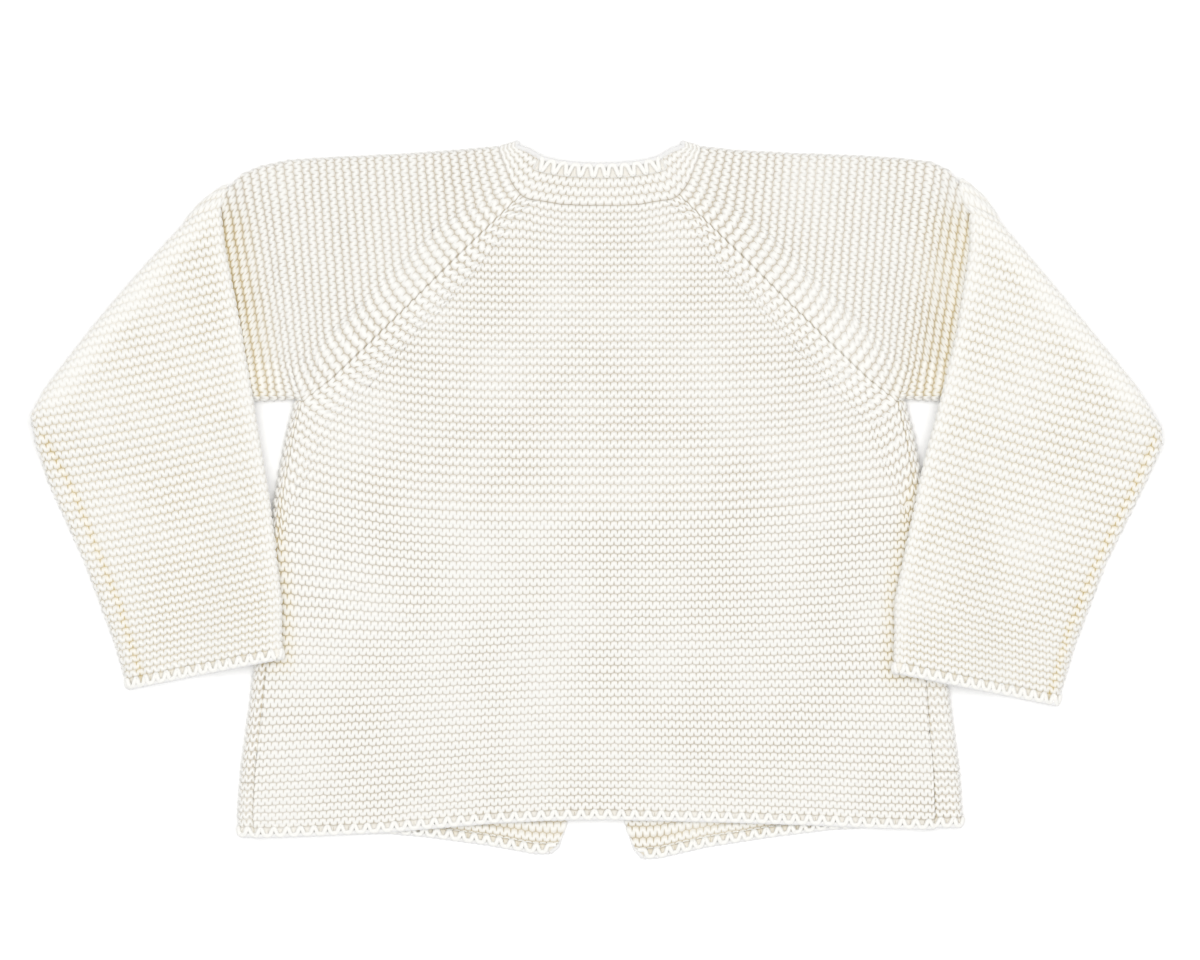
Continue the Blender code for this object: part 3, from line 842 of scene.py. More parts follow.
# %% Put the lower part together
def lower_face(side, ridges, lower):
    """The upper face and the outer edge, and the way out at the edge's lower end."""
    far, path, end, heading = lower
    stitches = np.arange(0, SLEEVE_STITCHES * FINE + 1) / FINE
    found = np.minimum(stitches * STITCH, end[:, None])
    flat = np.stack([[np.interp(f, far, p[:, j]) for f, p in zip(found, path)] for j in (0, 1)], -1)
    going = np.stack([[np.interp(e, far, h[:, j]) for j in (0, 1)] for e, h in zip(end, heading)])
    boundary = sleeve_lines(side)[1]
    place, normal, on_top, whole, out = over_edge(boundary, flat, going, end, stitches)
    groove, dent = underarm_seam(side, flat, ridges, on_top)
    place[..., 2] += dent
    # the knit is stretched soft beside the body and along the fold
    from_fold = smooth(0.0, 13.0, end[:, None] - stitches * STITCH)
    firm = smooth(-1.0, 2.2, stitches)[None] * np.maximum(from_fold, smooth(44.0, 28.0, flat[..., 1]))
    stitch = np.minimum(stitches, whole[:, None] / STITCH)
    # golden shade is painted in the underarm seam's groove, and less hollow shade where the knit is soft
    relief, warm = lerp(0.5, 1.0, firm) * (1 - 0.5 * groove), 0.95 * groove - 0.55 * (1 - firm)
    return run(place, normal, ridges, stitch, relief=relief, warm=warm), out, flat


def make_lower_sleeve(side):
    lines = SIDES[side]
    ridges = np.r_[EDGING_ROWS * CUFF_EDGING, ridge_rows(0, len(inner_levels(side)) - 1)]
    lower = lower_rows(side, ridges)
    main, out, flat = lower_face(side, ridges, lower)

    # underneath: up inside the fold, and then back to the edge beside the body
    inset, inner = main["place"][:, -1, :2] - out, lower[1][:, 0]
    shares = np.array([0.04, *UNDER_SHARES])[None, :, None]
    back = inset[:, None] + (inner - inset)[:, None] * shares
    under_xy = np.concatenate([inset[:, None], back], 1)
    under = run(at(under_xy, DROP + 0.05 - settle(under_xy)), -UP, ridges, 0, 0, 0.3)

    # the rolled edge beside the body
    up = np.minimum(inner[:, 1], lines["inner"][-1, 1] - 1.6)  # some line is left above it
    out = edge_frame(lines["inner"], up[:, None])[2]
    steps = np.arange(EDGE_STITCHES * FINE, 0, -1) / FINE
    axis_z = (lower_top(flat[:, 0]) - EDGE)[:, None]
    roll, normal = around(inner[:, None], -out, axis_z, EDGE, roll_angle(steps, len(ridges)))
    # the roll is soft: less relief, and less shade painted in its hollows
    rolled = run(roll, normal, ridges, -steps, relief=0.5, warm=-0.55)

    tip = edge_frame(sleeve_lines(side)[1], flat[:, -1, 1])[0][-1]
    parts = [with_nose(part, tip, lines["nose"], ridges[-1]) for part in (main, under, rolled)]
    parts = [flipped(side, part) for part in parts]
    edging(f"sleeve_{side}_cuff", parts, TOOTH["cuff"])
    shell(f"sleeve_{side}_lower", parts, 3 + lines["sign"])


for side in SIDES:
    make_lower_sleeve(side)

# %% Ridges of the upper part
SLEEVE_PITCH = 3.4
RAGLAN_RIDGES = 28
SLOPE_BACK = 0.158  # how far a ridge leans towards the body on its way down


def shoulder_line(side):
    """The top boundary of the upper part: the shoulder, and then the fold from its inside."""
    fold, _, outward = sleeve_lines(side)
    return np.vstack([SIDES[side]["shoulder"][:-1] + [0, 0.4], fold[1:] - outward * 0.3])


def upper_rows(side, ridges):
    """Each ridge's top on the shoulder or the fold, where its margin starts, and its lower end."""
    line = shoulder_line(side)
    raglan = ridges <= RAGLAN_RIDGES
    beyond = np.maximum(ridges - RAGLAN_RIDGES, 0) * SLEEVE_PITCH
    share = np.clip(ridges / RAGLAN_RIDGES, 0, 1)
    end = raglan_spot(1 - share, 1)
    low = lerp(42.2, 40.4, beyond / 100) - 1.1 * smooth(5.0, 0.0, beyond)
    end = np.where(raglan[:, None], end, np.stack([119.1 + beyond, low], -1))
    top_out = lerp(40.2, 133.6, ridges / RAGLAN_RIDGES)
    guess = end[:, 0] + 14
    for _ in range(30):
        guess = lerp(guess, end[:, 0] + SLOPE_BACK * (up_at(line, guess) - end[:, 1]), 0.5)
    top_out = lerp(top_out, guess, smooth(RAGLAN_RIDGES - 12, RAGLAN_RIDGES + 2, ridges))
    top_out = np.maximum(top_out, end[:, 0])
    top = np.stack([top_out, np.maximum(up_at(line, top_out), end[:, 1])], -1)
    bent = MARGIN[::-1] * lerp(0.6, 1.0, smooth(0.0, 0.3, share))[:, None]
    down = end - top
    length = np.maximum(np.hypot(*down.T), 0.01)
    down = down / length[:, None]
    straight = -down * np.minimum(14.0, 0.5 * length)[:, None]
    plain = smooth(RAGLAN_RIDGES - 6, RAGLAN_RIDGES + 4, ridges)[:, None]
    return top, end + lerp(bent, straight, plain), end, plain[:, 0]


def from_folded(side, xy):
    """How far a place lies from the folded-down sleeve's rolled edge."""
    return out_at(SIDES[side]["inner"], xy[..., 1]) - EDGE - xy[..., 0]


def rise(side, xy):
    """How far the cloth lifts: at the fold's upper corner, and at the folded sleeve's rolled edge."""
    corner = SIDES[side]["fold"][0] + [1.0, -1.0]
    gap = from_folded(side, xy)
    foot = 2.0 * smooth(5.5, -1.5, gap) * smooth(-6.0, -2.5, gap) * smooth(40.0, 48.0, xy[..., 1])
    return np.maximum(4.4 * smooth(17.0, 1.0, np.hypot(*np.moveaxis(xy - corner, -1, 0))), foot)


def shade_in_fold(side, xy):
    """How much golden shade is painted on a place in the fold beside the folded-down sleeve, from 0 to 1."""
    golden_shade = smooth(SIDES[side]["shade"], 0.0, from_folded(side, xy))
    return 0.9 * golden_shade * smooth(126.0, 106.0, xy[..., 1])


length = [np.hypot(*(row[0] - row[2])[0]).round(1) for row in (upper_rows(s, np.full(1, 20.0)) for s in SIDES)]
print("ridge 20 is", length, "mm long")

# %% The upper part's rolled edges
UPPER_MIDDLE = (STACK + PROUD) / 2  # height of the middle of its two layers


def underarm_roll(ridges, end, plain, steps):
    """The rolled underarm edge, which is a plain wall along the raglan."""
    middle = np.full((len(ridges), 1), UPPER_MIDDLE)
    down = lerp(-ACROSS_RAGLAN, np.array([-0.15, -0.99]), plain[:, None])
    angle = roll_angle(steps, len(ridges))
    radius = lerp(0.05, EDGE, plain)[:, None]
    place, normal = around(end[:, None], down[:, None], middle, radius, angle)
    place[..., 2] = middle + lerp(EDGE - 0.9, EDGE, plain[:, None]) * np.cos(angle)
    relief = lerp(0.3, 1, plain)[:, None]
    return run(place, normal, ridges, MARGIN_STITCHES + steps, relief=relief)


def shoulder_roll(side, ridges, top, steps):
    """The rolled edge along the shoulder, which is hidden where it has passed into the fold."""
    line = shoulder_line(side)
    climbing = up_at(line, top[:, 0] + 1.5) - up_at(line, top[:, 0] - 1.5)
    ahead = np.stack([np.full(len(ridges), 3.0), climbing], -1)
    ahead /= np.hypot(*ahead.T)[:, None]
    outward = np.stack([-ahead[:, 1], ahead[:, 0]], -1)
    radius = lerp(EDGE, 0.3, smooth(2.0, 12.0, top[:, 0] - SIDES[side]["fold"][0, 0]))[:, None]
    angle = roll_angle(steps, len(ridges))
    place, normal = around(top[:, None], outward[:, None], UPPER_MIDDLE, radius, angle)
    lift = rise(side, top)[:, None] / 2
    place[..., 2] = UPPER_MIDDLE + lift + (EDGE + lift) * np.cos(angle)
    return run(place, normal, ridges, -steps)


print("the middle of the two layers is", UPPER_MIDDLE, "mm up")


# %% Put the upper part together
def make_upper_sleeve(side, name, low, high, fine_columns):
    ridges = ridge_rows(low, high)
    top, start, end, plain = upper_rows(side, ridges)
    span = start - top
    length = np.maximum(np.hypot(*span.T), 0.01)
    heading = span / length[:, None]
    per = FINE if fine_columns else 1
    stitches = np.arange(0, 36 * per + 1) / per
    reach = np.minimum(stitches * STITCH, length[:, None])
    main = top[:, None] + heading[:, None] * reach[..., None]
    stitch = np.minimum(stitches, length[:, None] / STITCH)
    bent, extra = to_seam(start, heading, -ACROSS_RAGLAN, end)
    t = (extra / MARGIN_STITCHES)[None, :, None]
    margin = lerp(bent, start[:, None] + (end - start)[:, None] * t, plain[:, None, None])
    if not fine_columns:
        margin, extra = margin[:, FINE - 1 :: FINE], extra[FINE - 1 :: FINE]
    dip, _, line = beside_seam(extra)
    seamed = 1 - plain[:, None]  # beyond the raglan there is no seam
    calm = lerp(0.55, 1.0, np.maximum(smooth(0.0, 0.6, MARGIN_STITCHES - extra), plain[:, None]))
    top_z = lambda xy: STACK + PROUD + undulate(xy, 4.0) + rise(side, xy)
    # golden shade is painted in the fold beside the folded-down sleeve, and along the raglan seam's groove
    flat = run(at(main, top_z(main)), UP, ridges, stitch, relief=1.15, warm=shade_in_fold(side, main))
    warm = np.maximum(shade_in_fold(side, margin), line * seamed)
    place = at(margin, top_z(margin) - dip * seamed)
    turned = margin_run(place, UP, ridges, stitch, extra, margin, calm, warm)

    steps = np.arange(1, EDGE_STITCHES * per + 1) / per
    shares = np.array([0.05, *UNDER_SHARES])[None, :, None]
    under = run(at(end[:, None] + (top - end)[:, None] * shares, 0.02), -UP, ridges, 0, 0, 0.4)
    parts = [flat, turned, underarm_roll(ridges, end, plain, steps), under]
    parts.append(shoulder_roll(side, ridges, top, steps[::-1]))
    shell(name, [flipped(side, part) for part in parts], 5 + SIDES[side]["sign"])


# past this ridge the upper part is hidden in the fold, and it ends at another
HIDDEN_FROM, SLEEVE_END = 39, {"left": 58, "right": 56}
for side in SIDES:
    make_upper_sleeve(side, f"sleeve_{side}_upper", 0, HIDDEN_FROM, True)
    make_upper_sleeve(side, f"sleeve_{side}_folded", HIDDEN_FROM, SLEEVE_END[side], False)

# %% [markdown]
# ## The two fronts
#
# Each front lies under the back. At the body's side its knit rolls up over the edge and ends in the
# side seam, a little way in on top. The underside is knitted like the back. The corner that hangs
# out below the back's hem shows its other face, so it is a shell of its own with fine stitches on
# both faces. Its rim turns the corner and thins out up the slanted free edge.

# %% Where a front ends
FRONT_NECK = np.array([(9.1, 90.4), (18.1, 95.0), (27, 103.4), (36, 117.8), (36.4, 119)])
FRONT_TOP = BODY_RIDGES + 28  # the last ridge, at the corner of neck and raglan
FRONT_STITCH = STITCH + 0.06
TAIL = 6  # the ridges below this one belong to the corner
CORNER_ROWS = 17  # the rim turns at the corner and runs up the free edge for this many grid rows
LIP_FROM = 6 * FINE  # the columns beside the body that the lip's zigzag leaves out
STRIP = 16  # grid columns across the strip on the back
UNDERNEATH = 0.5  # relief of a face that lies on the table
OUT, OUT_3D = np.array([1.0, 0.0]), np.array([1.0, 0.0, 0.0])


def front_side(side, ridges, per):
    """A front's ridges: the long run of stitches and the margin at its side or raglan."""
    lines = SIDES[side]
    _, own, start, seam = rows_of(side, ridges)
    body = ridges <= BODY_RIDGES + 0.2
    turn = smooth(28.0, BODY_RIDGES, ridges)
    axis = out_at(BODY_SIDE, seam[:, 1]) - EDGE
    end = np.where(body[:, None], np.stack([axis, seam[:, 1]], -1), seam - 0.1)
    start = np.where(body[:, None], end - np.stack([14 - 2 * turn, 8 * turn], -1), start)
    chain = np.vstack([lines["front_edge"], FRONT_NECK])
    fade = smooth(40.0, 0.0, ridges)[:, None]

    def height(out):
        up = own[:, None] + climb(side, out, own[:, None])[0]
        hem = up_at(lines["front_hem"], out) + 4.3 * (1 + np.minimum(ridges, 0) / EDGING)[:, None]
        droop = hem - (LEVELS[0, 1] + climb(side, out, np.full_like(out, LEVELS[0, 1]))[0])
        up = up + droop * fade
        return lerp(up, hem, smooth(3.0, 0.0, ridges)[:, None]) if ridges[0] < TAIL else up

    inner = np.full((len(ridges), 1), 10.0)
    for _ in range(6):
        inner = lerp(inner, out_at(chain, height(inner)), 0.6)
    inner = np.minimum(inner, start[:, :1])
    stitches = np.arange(0, 51 * per + 1) / per
    out = np.clip(stitches * FRONT_STITCH, inner, start[:, :1])
    up = height(out)
    gap = start[:, 1:] - up[:, -1:]
    up = up + gap * smooth(-60.0, 0.0, out - start[:, :1])
    main = np.stack([out, up], -1)
    margin, extra = to_seam(start, heading_at(side, start, own), ACROSS_RAGLAN, end)
    stitch = np.clip(stitches, inner / FRONT_STITCH, start[:, :1] / FRONT_STITCH)
    return main, margin, stitch, extra, seam


print("a front has", FRONT_TOP, "ridges")


# %% The rim and the strip of a front
def turned_rim(name, edge):
    """The rim turns the corner and thins out up the slanted free edge."""
    path = (edge["place"] - 0.5 * edge["normal"])[:CORNER_ROWS, 1]
    thick = ZIGZAG * np.linspace(1, 0.35, CORNER_ROWS)
    lines, _ = resampled(np.column_stack([path, np.tile(UP, (CORNER_ROWS, 1)), thick]), 0.5)
    yarn(name, lines[:, :3], lines[:, 3:6], lines[:, 6])


def side_strip(side, ridges, end, seam):
    """From a ridge's end over the rolled edge, along the strip to the side seam, and back under."""
    body = (ridges <= BODY_RIDGES + 0.2)[:, None]  # the ridges that end at the body's side
    steps = np.arange(1, EDGE_STITCHES * FINE + 1) / FINE
    angle = math.pi - roll_angle(steps, len(ridges))
    centre_z, radius = np.where(body, EDGE, LAYER / 2), np.where(body, EDGE, 0.05)
    place, normal = around(end[:, None], OUT, centre_z, radius, angle)
    place[..., 2] = np.where(body, place[..., 2], LAYER / 2 * (1 - np.cos(angle)))
    rolled = run(place, normal, ridges, MARGIN_STITCHES + steps, relief=np.where(body, 1, 0.2))

    width = np.where(body, np.maximum(end[:, :1] - seam[:, :1] - 0.02, 0.2), 0.0)
    share = np.arange(1, STRIP + 1) / STRIP
    xy = np.stack([end[:, :1] - width * share, np.repeat(end[:, 1:], STRIP, 1)], -1)
    from_seam = width * (1 - share)
    z = np.where(body, STACK + PROUD - 0.5 * smooth(1.0, 0.0, from_seam), LAYER)
    calm = lerp(0.55, 0.95, smooth(0.0, 1.2, from_seam))
    # golden shade is painted in the side seam's groove and beside the folded-down sleeve
    warm = np.maximum(0.6 * smooth(1.0, 0.0, from_seam), shade_beside_sleeve(side, xy))
    stitch = MARGIN_STITCHES + EDGE_STITCHES + width * share / STITCH
    strip = run(at(xy, z), UP, ridges, stitch, relief=calm, warm=warm)

    last = xy[:, -1:]
    place = at(np.repeat(last, 2, 1), np.where(body, WALL_TOP, LAYER - 0.1))
    wall = run(place, -OUT_3D, ridges, 0, 0, 0.1)
    place = at(np.concatenate([last, end[:, None]], 1), np.where(body, [2.75, 2.65], LAYER - 0.15))
    return [rolled, strip, wall, run(place, -UP, ridges, 0, 0, 0.05)]


print("the strip has", STRIP, "columns")


# %% Put the fronts together
def make_front(side, name, low, high, tail):
    ridges = ridge_rows(low, high)
    if tail:
        ridges = np.r_[EDGING_ROWS * EDGING, ridges]
    main, margin, stitch, extra, seam = front_side(side, ridges, FINE if tail else 2)
    end = margin[:, -1]
    bottom = run(at(main, 0.0), -UP, ridges, stitch, relief=UNDERNEATH)
    turned = margin_run(at(margin, 0.0), -UP, ridges, stitch, extra, margin, UNDERNEATH)
    if tail:
        # the corner's inner face lies under the back's hem, so golden shade is painted on it
        face = run(at(main, LAYER), UP, ridges, stitch, relief=0.8, warm=0.4)
        beyond = margin_run(at(margin, LAYER), UP, ridges, stitch, extra, margin, 0.8, 0.4)
        inner = turned_back({key: np.concatenate([face[key], beyond[key]], 1) for key in face})
    else:
        inner_xy = np.stack([end, margin[:, 0], main[:, 60], main[:, 30], main[:, 0]], 1)
        inner = run(at(inner_xy, LAYER - 0.05), UP, ridges, 0, 0, 0.3)
    angle = np.tile(math.pi * np.array([0.2, 0.5, 0.8]), (len(ridges), 1))
    half = np.full((len(ridges), 1), LAYER / 2)
    place, normal = around(main[:, :1], -OUT, half, LAYER / 2, angle)
    free_edge = run(place, normal, ridges, -0.5, 0, 0.3)
    parts = [bottom, turned, *side_strip(side, ridges, end, seam), inner, free_edge]
    parts = [flipped(side, part) for part in parts]
    if tail:
        edging(f"front_{side}_hem", parts[:4], TOOTH["front"])
        seen = {key: value[:, LIP_FROM:] for key, value in parts[-2].items()}
        zigzag(f"front_{side}_lip", edge_lines([seen]), TOOTH["front"], half=0.5)
        turned_rim(f"front_{side}_turned_rim", parts[-1])
    shell(name, parts, 8 + SIDES[side]["sign"])


for side in SIDES:
    make_front(side, f"front_{side}_corner", 0, TAIL, True)
    make_front(side, f"front_{side}_main", TAIL, FRONT_TOP, False)

# %% [markdown]
# ## The neck band
#
# The band is picked up round the neck: three ridges, and then the zigzag edging. It runs across the
# back, rolls over each shoulder and runs down to the fronts' edges. Its ridges follow the neckline,
# so here the grid's rows cross the band and its columns follow the ridges.

# %% The band's sections
BACK_BAND = np.array(  # out and up at the seam, then at the free edge
    [(0, 118.15, 0, 135.4), (7.9, 118.15, 5.5, 135.5), (15.8, 118.55, 11, 135.9), (23.7, 119.95, 16.9, 136.6)]
    + [(31.6, 122.2, 23.2, 138.2), (33.9, 124.9, 25, 139.3), (36.35, 129.65, 27.6, 140.7)]
    + [(40.2, 139.6, 32.6, 141.8)]
)
FRONT_BAND = np.array(
    [(0.15, 89.5, 0.15, 102), (9.1, 90.8, 6.4, 102.8), (18.1, 95.4, 12.8, 105.8), (27, 103.8, 19.2, 112)]
    + [(36, 118.2, 25.2, 122.5), (39.2, 129, 28.9, 131.5), (40.3, 139.5, 32.6, 141.8)]
)
BAND_RIDGES, BAND_KNIT = 3, 0.63  # the ridges take up this share of the band's width
BAND_RIM = 0.93  # and the rim lies at this share
print("the band has", BAND_RIDGES, "ridges")


# %% The band's line from back to front
def has_zigzag(table):
    """The zigzag runs along the back and the fronts, and the shoulders have ridges instead."""
    return np.where(np.abs(table[:, 6]) > 0.99, np.abs(table[:, 0]) < 31.7, False)


def band_line():
    """Stations from the centre back to the front's edge: section, outward normal and mid height."""
    half, bend = LAYER / 2, STACK / 2 - LAYER / 2  # half a layer, and the bend's own radius
    back = [(row, (0, 0, 1.0), 0.0, STACK - half) for row in BACK_BAND]
    over = []
    for a in np.linspace(0, math.pi, 13)[1:]:
        normal = (0, math.sin(a), math.cos(a))
        over.append((BACK_BAND[-1], normal, bend * math.sin(a), EDGE + bend * math.cos(a)))
    front = [(row, (0, 0, -1.0), 0.0, half) for row in FRONT_BAND[-2::-1]]
    stations = back + over + front
    table = np.array([[*row, *normal, beyond, z] for row, normal, beyond, z in stations])
    middle = (table[:, :2] + table[:, 2:4]) / 2 + [[0.0, 1.0]] * table[:, 7:8]
    middle = np.hstack([middle, table[:, 8:]])
    return np.r_[0, np.cumsum(np.linalg.norm(np.diff(middle, axis=0), axis=1))], table


def band_at(side, count):
    """The band's stations at every quarter of a stitch."""
    length, table = band_line()
    where = np.linspace(0, length[-1], count)
    found = np.stack([np.interp(where, length, table[:, k]) for k in range(table.shape[1])], -1)
    found[:, [0, 2, 4]] *= SIDES[side]["sign"]
    found[:, 4:7] /= np.linalg.norm(found[:, 4:7], axis=1)[:, None]
    return where, sewn_on(side, found)


def neck_row(side):
    """The back's last row and then the sleeve's first row, which the band is sewn to."""
    main, margin, _, _ = back_side(side, ALL_RIDGES[-1:])
    top, start, end, _ = upper_rows(side, np.zeros(1))
    span = start - top
    bent, _ = to_seam(start, span / np.hypot(*span.T)[:, None], -ACROSS_RAGLAN, end)
    return np.vstack([main[0], margin[0], bent[0, ::-1], start, top])


def sewn_on(side, table):
    """Moves the back part's seam line onto the rows that it is sewn to."""
    line = neck_row(side)
    spot = np.abs(table[:, 0])
    seam = table[:, 6] > 0.99
    table[seam, 1] = up_at(line, spot[seam]) + 0.03
    return table


print("half the band is", band_line()[0][-1].round(1), "mm long")


# %% Put the band together
def make_band():
    stations = int(round(band_line()[0][-1] / STITCH)) * FINE + 1
    left_far, left = band_at("left", stations)
    right_far, right = band_at("right", stations)
    table = np.vstack([left[::-1], right[1:]])
    far = np.r_[-left_far[::-1], right_far[1:]]
    normal = table[:, 4:7]
    base = np.stack([np.zeros(len(far)), table[:, 7], table[:, 8]], -1)

    def across(share, lift):
        flat = lerp(table[:, None, :2], table[:, None, 2:4], share[:, None])
        return at(flat, 0.0) + base[:, None] + normal[:, None] * lift[:, None]

    rows = np.r_[ridge_rows(0, BAND_RIDGES + 1), BAND_RIDGES * BAND_RIM / BAND_KNIT]
    share = rows / BAND_RIDGES * BAND_KNIT
    ridge = np.tile(BAND_RIDGES + 2 - rows, (len(far), 1))
    ridge[has_zigzag(table)[:, None] & (rows > BAND_RIDGES)] = -1
    stitch = far[:, None] / STITCH
    lift = 1.4 - 0.2 * smooth(0.06, 0.0, share)
    firm = smooth(141.0, 127.0, table[:, 1])[:, None]
    # over the shoulders the band is soft: less relief, and less shade painted in its hollows
    relief, warm = lerp(0.5, 1, firm), 0.5 * (firm - 1)
    loop = [run(across(share, lift), normal[:, None], ridge, stitch, relief=relief, warm=warm)]
    # the free edge, the side that doesn't show and the edge at the seam are plain
    for way, shares, lifts, relief in (
        (1, (BAND_RIM, BAND_RIM), (0.6, -0.6), 0.1),
        (-1, (0.9, 0.5, 0.1), (-1.15, -1.15, -1.15), 0.1),
        (-1, (-0.045, -0.045), (-0.6, 0.1), 0.0),
    ):
        place = across(np.array(shares), np.array(lifts))
        loop.append(run(place, way * normal[:, None], -np.ones((len(far), 1)), stitch, 0, relief))
    shell("neck_band_knit", loop, 9, across=1)


make_band()

# %% The band's own edging
def band_edging(yarn_of, name, keep):
    """From the last ridge's edge to the rim, over the stations that keep picks."""
    halves = [band_at(side, 400)[1] for side in SIDES]
    table = np.vstack([halves[0][::-1], halves[1][1:]])
    table = table[keep(table)]
    normal = table[:, 4:7]
    base = np.stack([np.zeros(len(table)), table[:, 7], table[:, 8]], -1) + normal * 1.3
    rows = [at(lerp(table[:, :2], table[:, 2:4], share), 0.0) + base for share in (BAND_RIM, BAND_KNIT)]
    both, far = resampled(np.hstack([rows[0], rows[1], normal]), MEASURED)
    yarn_of(name, (both[:, :3], both[:, 3:6], both[:, 6:], far), TOOTH["neck"])


band_edging(zigzag, "neck_band_back", lambda t: has_zigzag(t) & (t[:, 6] > 0))
for side, part in SIDES.items():
    of_side = lambda t: has_zigzag(t) & (t[:, 6] < 0) & (t[:, 0] * part["sign"] > 0)
    band_edging(zigzag, f"neck_band_{side}", of_side)
band_edging(rim, "neck_band", lambda t: np.full(len(t), True))

# %% [markdown]
# ## The yarn's finish
#
# The yarn is a soft, matt cream wool. Light that reaches into a hole or a groove bounces between
# fibres and comes back warmer, and that shade is painted into the colour: the hollows are painted a
# little darker and more golden. One node group works out the hollows from the knit attribute, in the
# way that the relief does, and adds the fibres' fine grain and large soft patches in the painted
# shade. The attribute holds the turn, the ridge and how much golden shade is painted at a place, so
# the colours stay with the stitches when the cloth bends.


# %% Small helpers for nodes
def fill(tree, node, values):
    """Gives a node's sockets numbers, colours, or links from other nodes' outputs."""
    for key, value in values.items():
        if isinstance(value, bpy.types.NodeSocket):
            tree.links.new(value, node.inputs[key])
        else:
            node.inputs[key].default_value = value


def new_node(tree, kind, values=(), **settings):
    """A node with its settings and sockets, eight in a row and then on the next one."""
    node = tree.nodes.new(kind)
    node.location = (200 * (len(tree.nodes) % 8), -260 * (len(tree.nodes) // 8))
    for key, value in settings.items():
        setattr(node, key, value)
    fill(tree, node, dict(values))
    return node


# %% The node group that every knitted finish uses
def knit_group():
    group = bpy.data.node_groups.new("garter_yarn", "ShaderNodeTree")
    wanted = dict(Yarn="Color", HollowShade="Color", Fold="Color", SlitShade="Float", GrooveShade="Float")
    for way, sockets in (("INPUT", wanted), ("OUTPUT", dict(Color="Color", Normal="Vector"))):
        for name, kind in sockets.items():
            group.interface.new_socket(name=name, in_out=way, socket_type="NodeSocket" + kind)

    def node(kind, values=(), **settings):
        return new_node(group, "ShaderNode" + kind, values, **settings)

    def maths(operation, *values, clamp=False):
        return node("Math", dict(enumerate(values)), operation=operation, use_clamp=clamp).outputs[0]

    def slit(side):
        """How far a slit reaches in from the groove at each turn."""
        ramp = node("MapRange", dict(enumerate((turn, SLIT_FROM * side, side, 0, 1))))
        return maths("MULTIPLY", maths("POWER", ramp.outputs[0], SLIT_POINT), SLIT_DEPTH)

    given = new_node(group, "NodeGroupInput").outputs
    knit = node("Attribute", attribute_name="knit").outputs["Vector"]
    turn, ridge, warm = node("SeparateXYZ", {0: knit}).outputs

    # the relief once more
    level = maths("FRACT", ridge)
    crest = maths("POWER", maths("SINE", maths("MULTIPLY", level, math.pi)), ROUNDNESS)
    above, below = slit(-1), slit(1)
    middle = maths("MULTIPLY_ADD", maths("SUBTRACT", below, above), 0.5, 0.5)
    span = maths("MULTIPLY", maths("SUBTRACT", 0.96, maths("ADD", below, above)), 0.52)
    away = maths("DIVIDE", maths("SUBTRACT", level, middle), span)
    dome = maths("SQRT", maths("SUBTRACT", 1.0, maths("MULTIPLY", away, away), clamp=True))
    height = maths("MULTIPLY", crest, maths("MULTIPLY_ADD", dome, 0.58, 0.42))

    # the shade painted in slits and in grooves, weaker where the knit is soft, in soft random patches
    opened = maths("SUBTRACT", 1.0, dome, clamp=True)
    hollow_shade = maths("MULTIPLY", maths("MULTIPLY", opened, opened), given["SlitShade"])
    hollow_shade = maths("MULTIPLY_ADD", maths("SUBTRACT", 1.0, crest), given["GrooveShade"], hollow_shade)
    hollow_shade = maths("MULTIPLY", hollow_shade, maths("ADD", warm, 1.0, clamp=True))
    place = node("TexCoord").outputs["Object"]
    patches = node("TexNoise", dict(Vector=place, Scale=28)).outputs["Fac"]
    hollow_shade = maths("MULTIPLY", hollow_shade, maths("MULTIPLY_ADD", patches, 1.5, 0.25), clamp=True)

    # its colour: shade painted in the hollows, and golden shade painted in folds, seams' grooves and under the
    # hem
    colours = {"Factor": hollow_shade, 6: given["Yarn"], 7: given["HollowShade"]}
    wool = node("Mix", colours, data_type="RGBA").outputs[2]
    golden_shade = maths("MULTIPLY", maths("MULTIPLY_ADD", hollow_shade, 1.1, 0.14, clamp=True), warm, clamp=True)
    colours = {"Factor": golden_shade, 6: wool, 7: given["Fold"]}
    colour = node("Mix", colours, data_type="RGBA", blend_type="MULTIPLY").outputs[2]

    # the fibres' grain
    grain = dict(Vector=place, Scale=2200, Detail=3, Distortion=0.8)
    fibres = maths("MULTIPLY", node("TexNoise", grain).outputs["Fac"], 0.25)
    grain = dict(Height=maths("ADD", height, fibres), Strength=0.5, Distance=0.0006)
    bump = node("Bump", grain).outputs[0]
    new_node(group, "NodeGroupOutput", dict(Color=colour, Normal=bump))
    return group


GARTER = knit_group()
print("the knit's node group has", len(GARTER.nodes), "nodes")

# %% [markdown]
# ## Four finishes of one wool
#
# The body's knit is close. On the upper sleeves deeper shade is painted in the grooves, so they
# look darker. The folded-down parts lie in two thick layers, and their hollows are painted with
# paler, warmer shade, as light that comes through the layers would make them. The rims are firm,
# and their yarn is painted greyer for the shade on their round sides.


# %% The finishes
def surface(name, values):
    """A material, its node tree and its shader, whose own sockets hold what is the same all over."""
    material = bpy.data.materials.new(name)
    material.use_nodes = True
    shader = material.node_tree.nodes["Principled BSDF"]
    fill(material.node_tree, shader, values)
    return material, material.node_tree, shader


SOFT = {"Roughness": 0.92, "Specular IOR Level": 0.2, "Sheen Weight": 0.25, "Sheen Roughness": 0.5}


def yarn_material(name, yarn=(0.93, 0.92, 0.885), hollow_shade=(0.60, 0.54, 0.44), slit_shade=0.72, groove_shade=0.30):
    """A wool: its yarn's colour, the colour of the shade painted in its hollows, and how much shade is painted
    in slits and grooves.
    """
    material, tree, shader = surface(name, SOFT)
    # the golden colour is the shade painted in folds, seams' grooves and under the hem
    look = dict(Yarn=(*yarn, 1), HollowShade=(*hollow_shade, 1), Fold=(0.84, 0.72, 0.42, 1), SlitShade=slit_shade, GrooveShade=groove_shade)
    knit = new_node(tree, "ShaderNodeGroup", node_tree=GARTER)
    fill(tree, knit, look)
    fill(tree, shader, {"Base Color": knit.outputs["Color"], "Normal": knit.outputs["Normal"]})
    return material


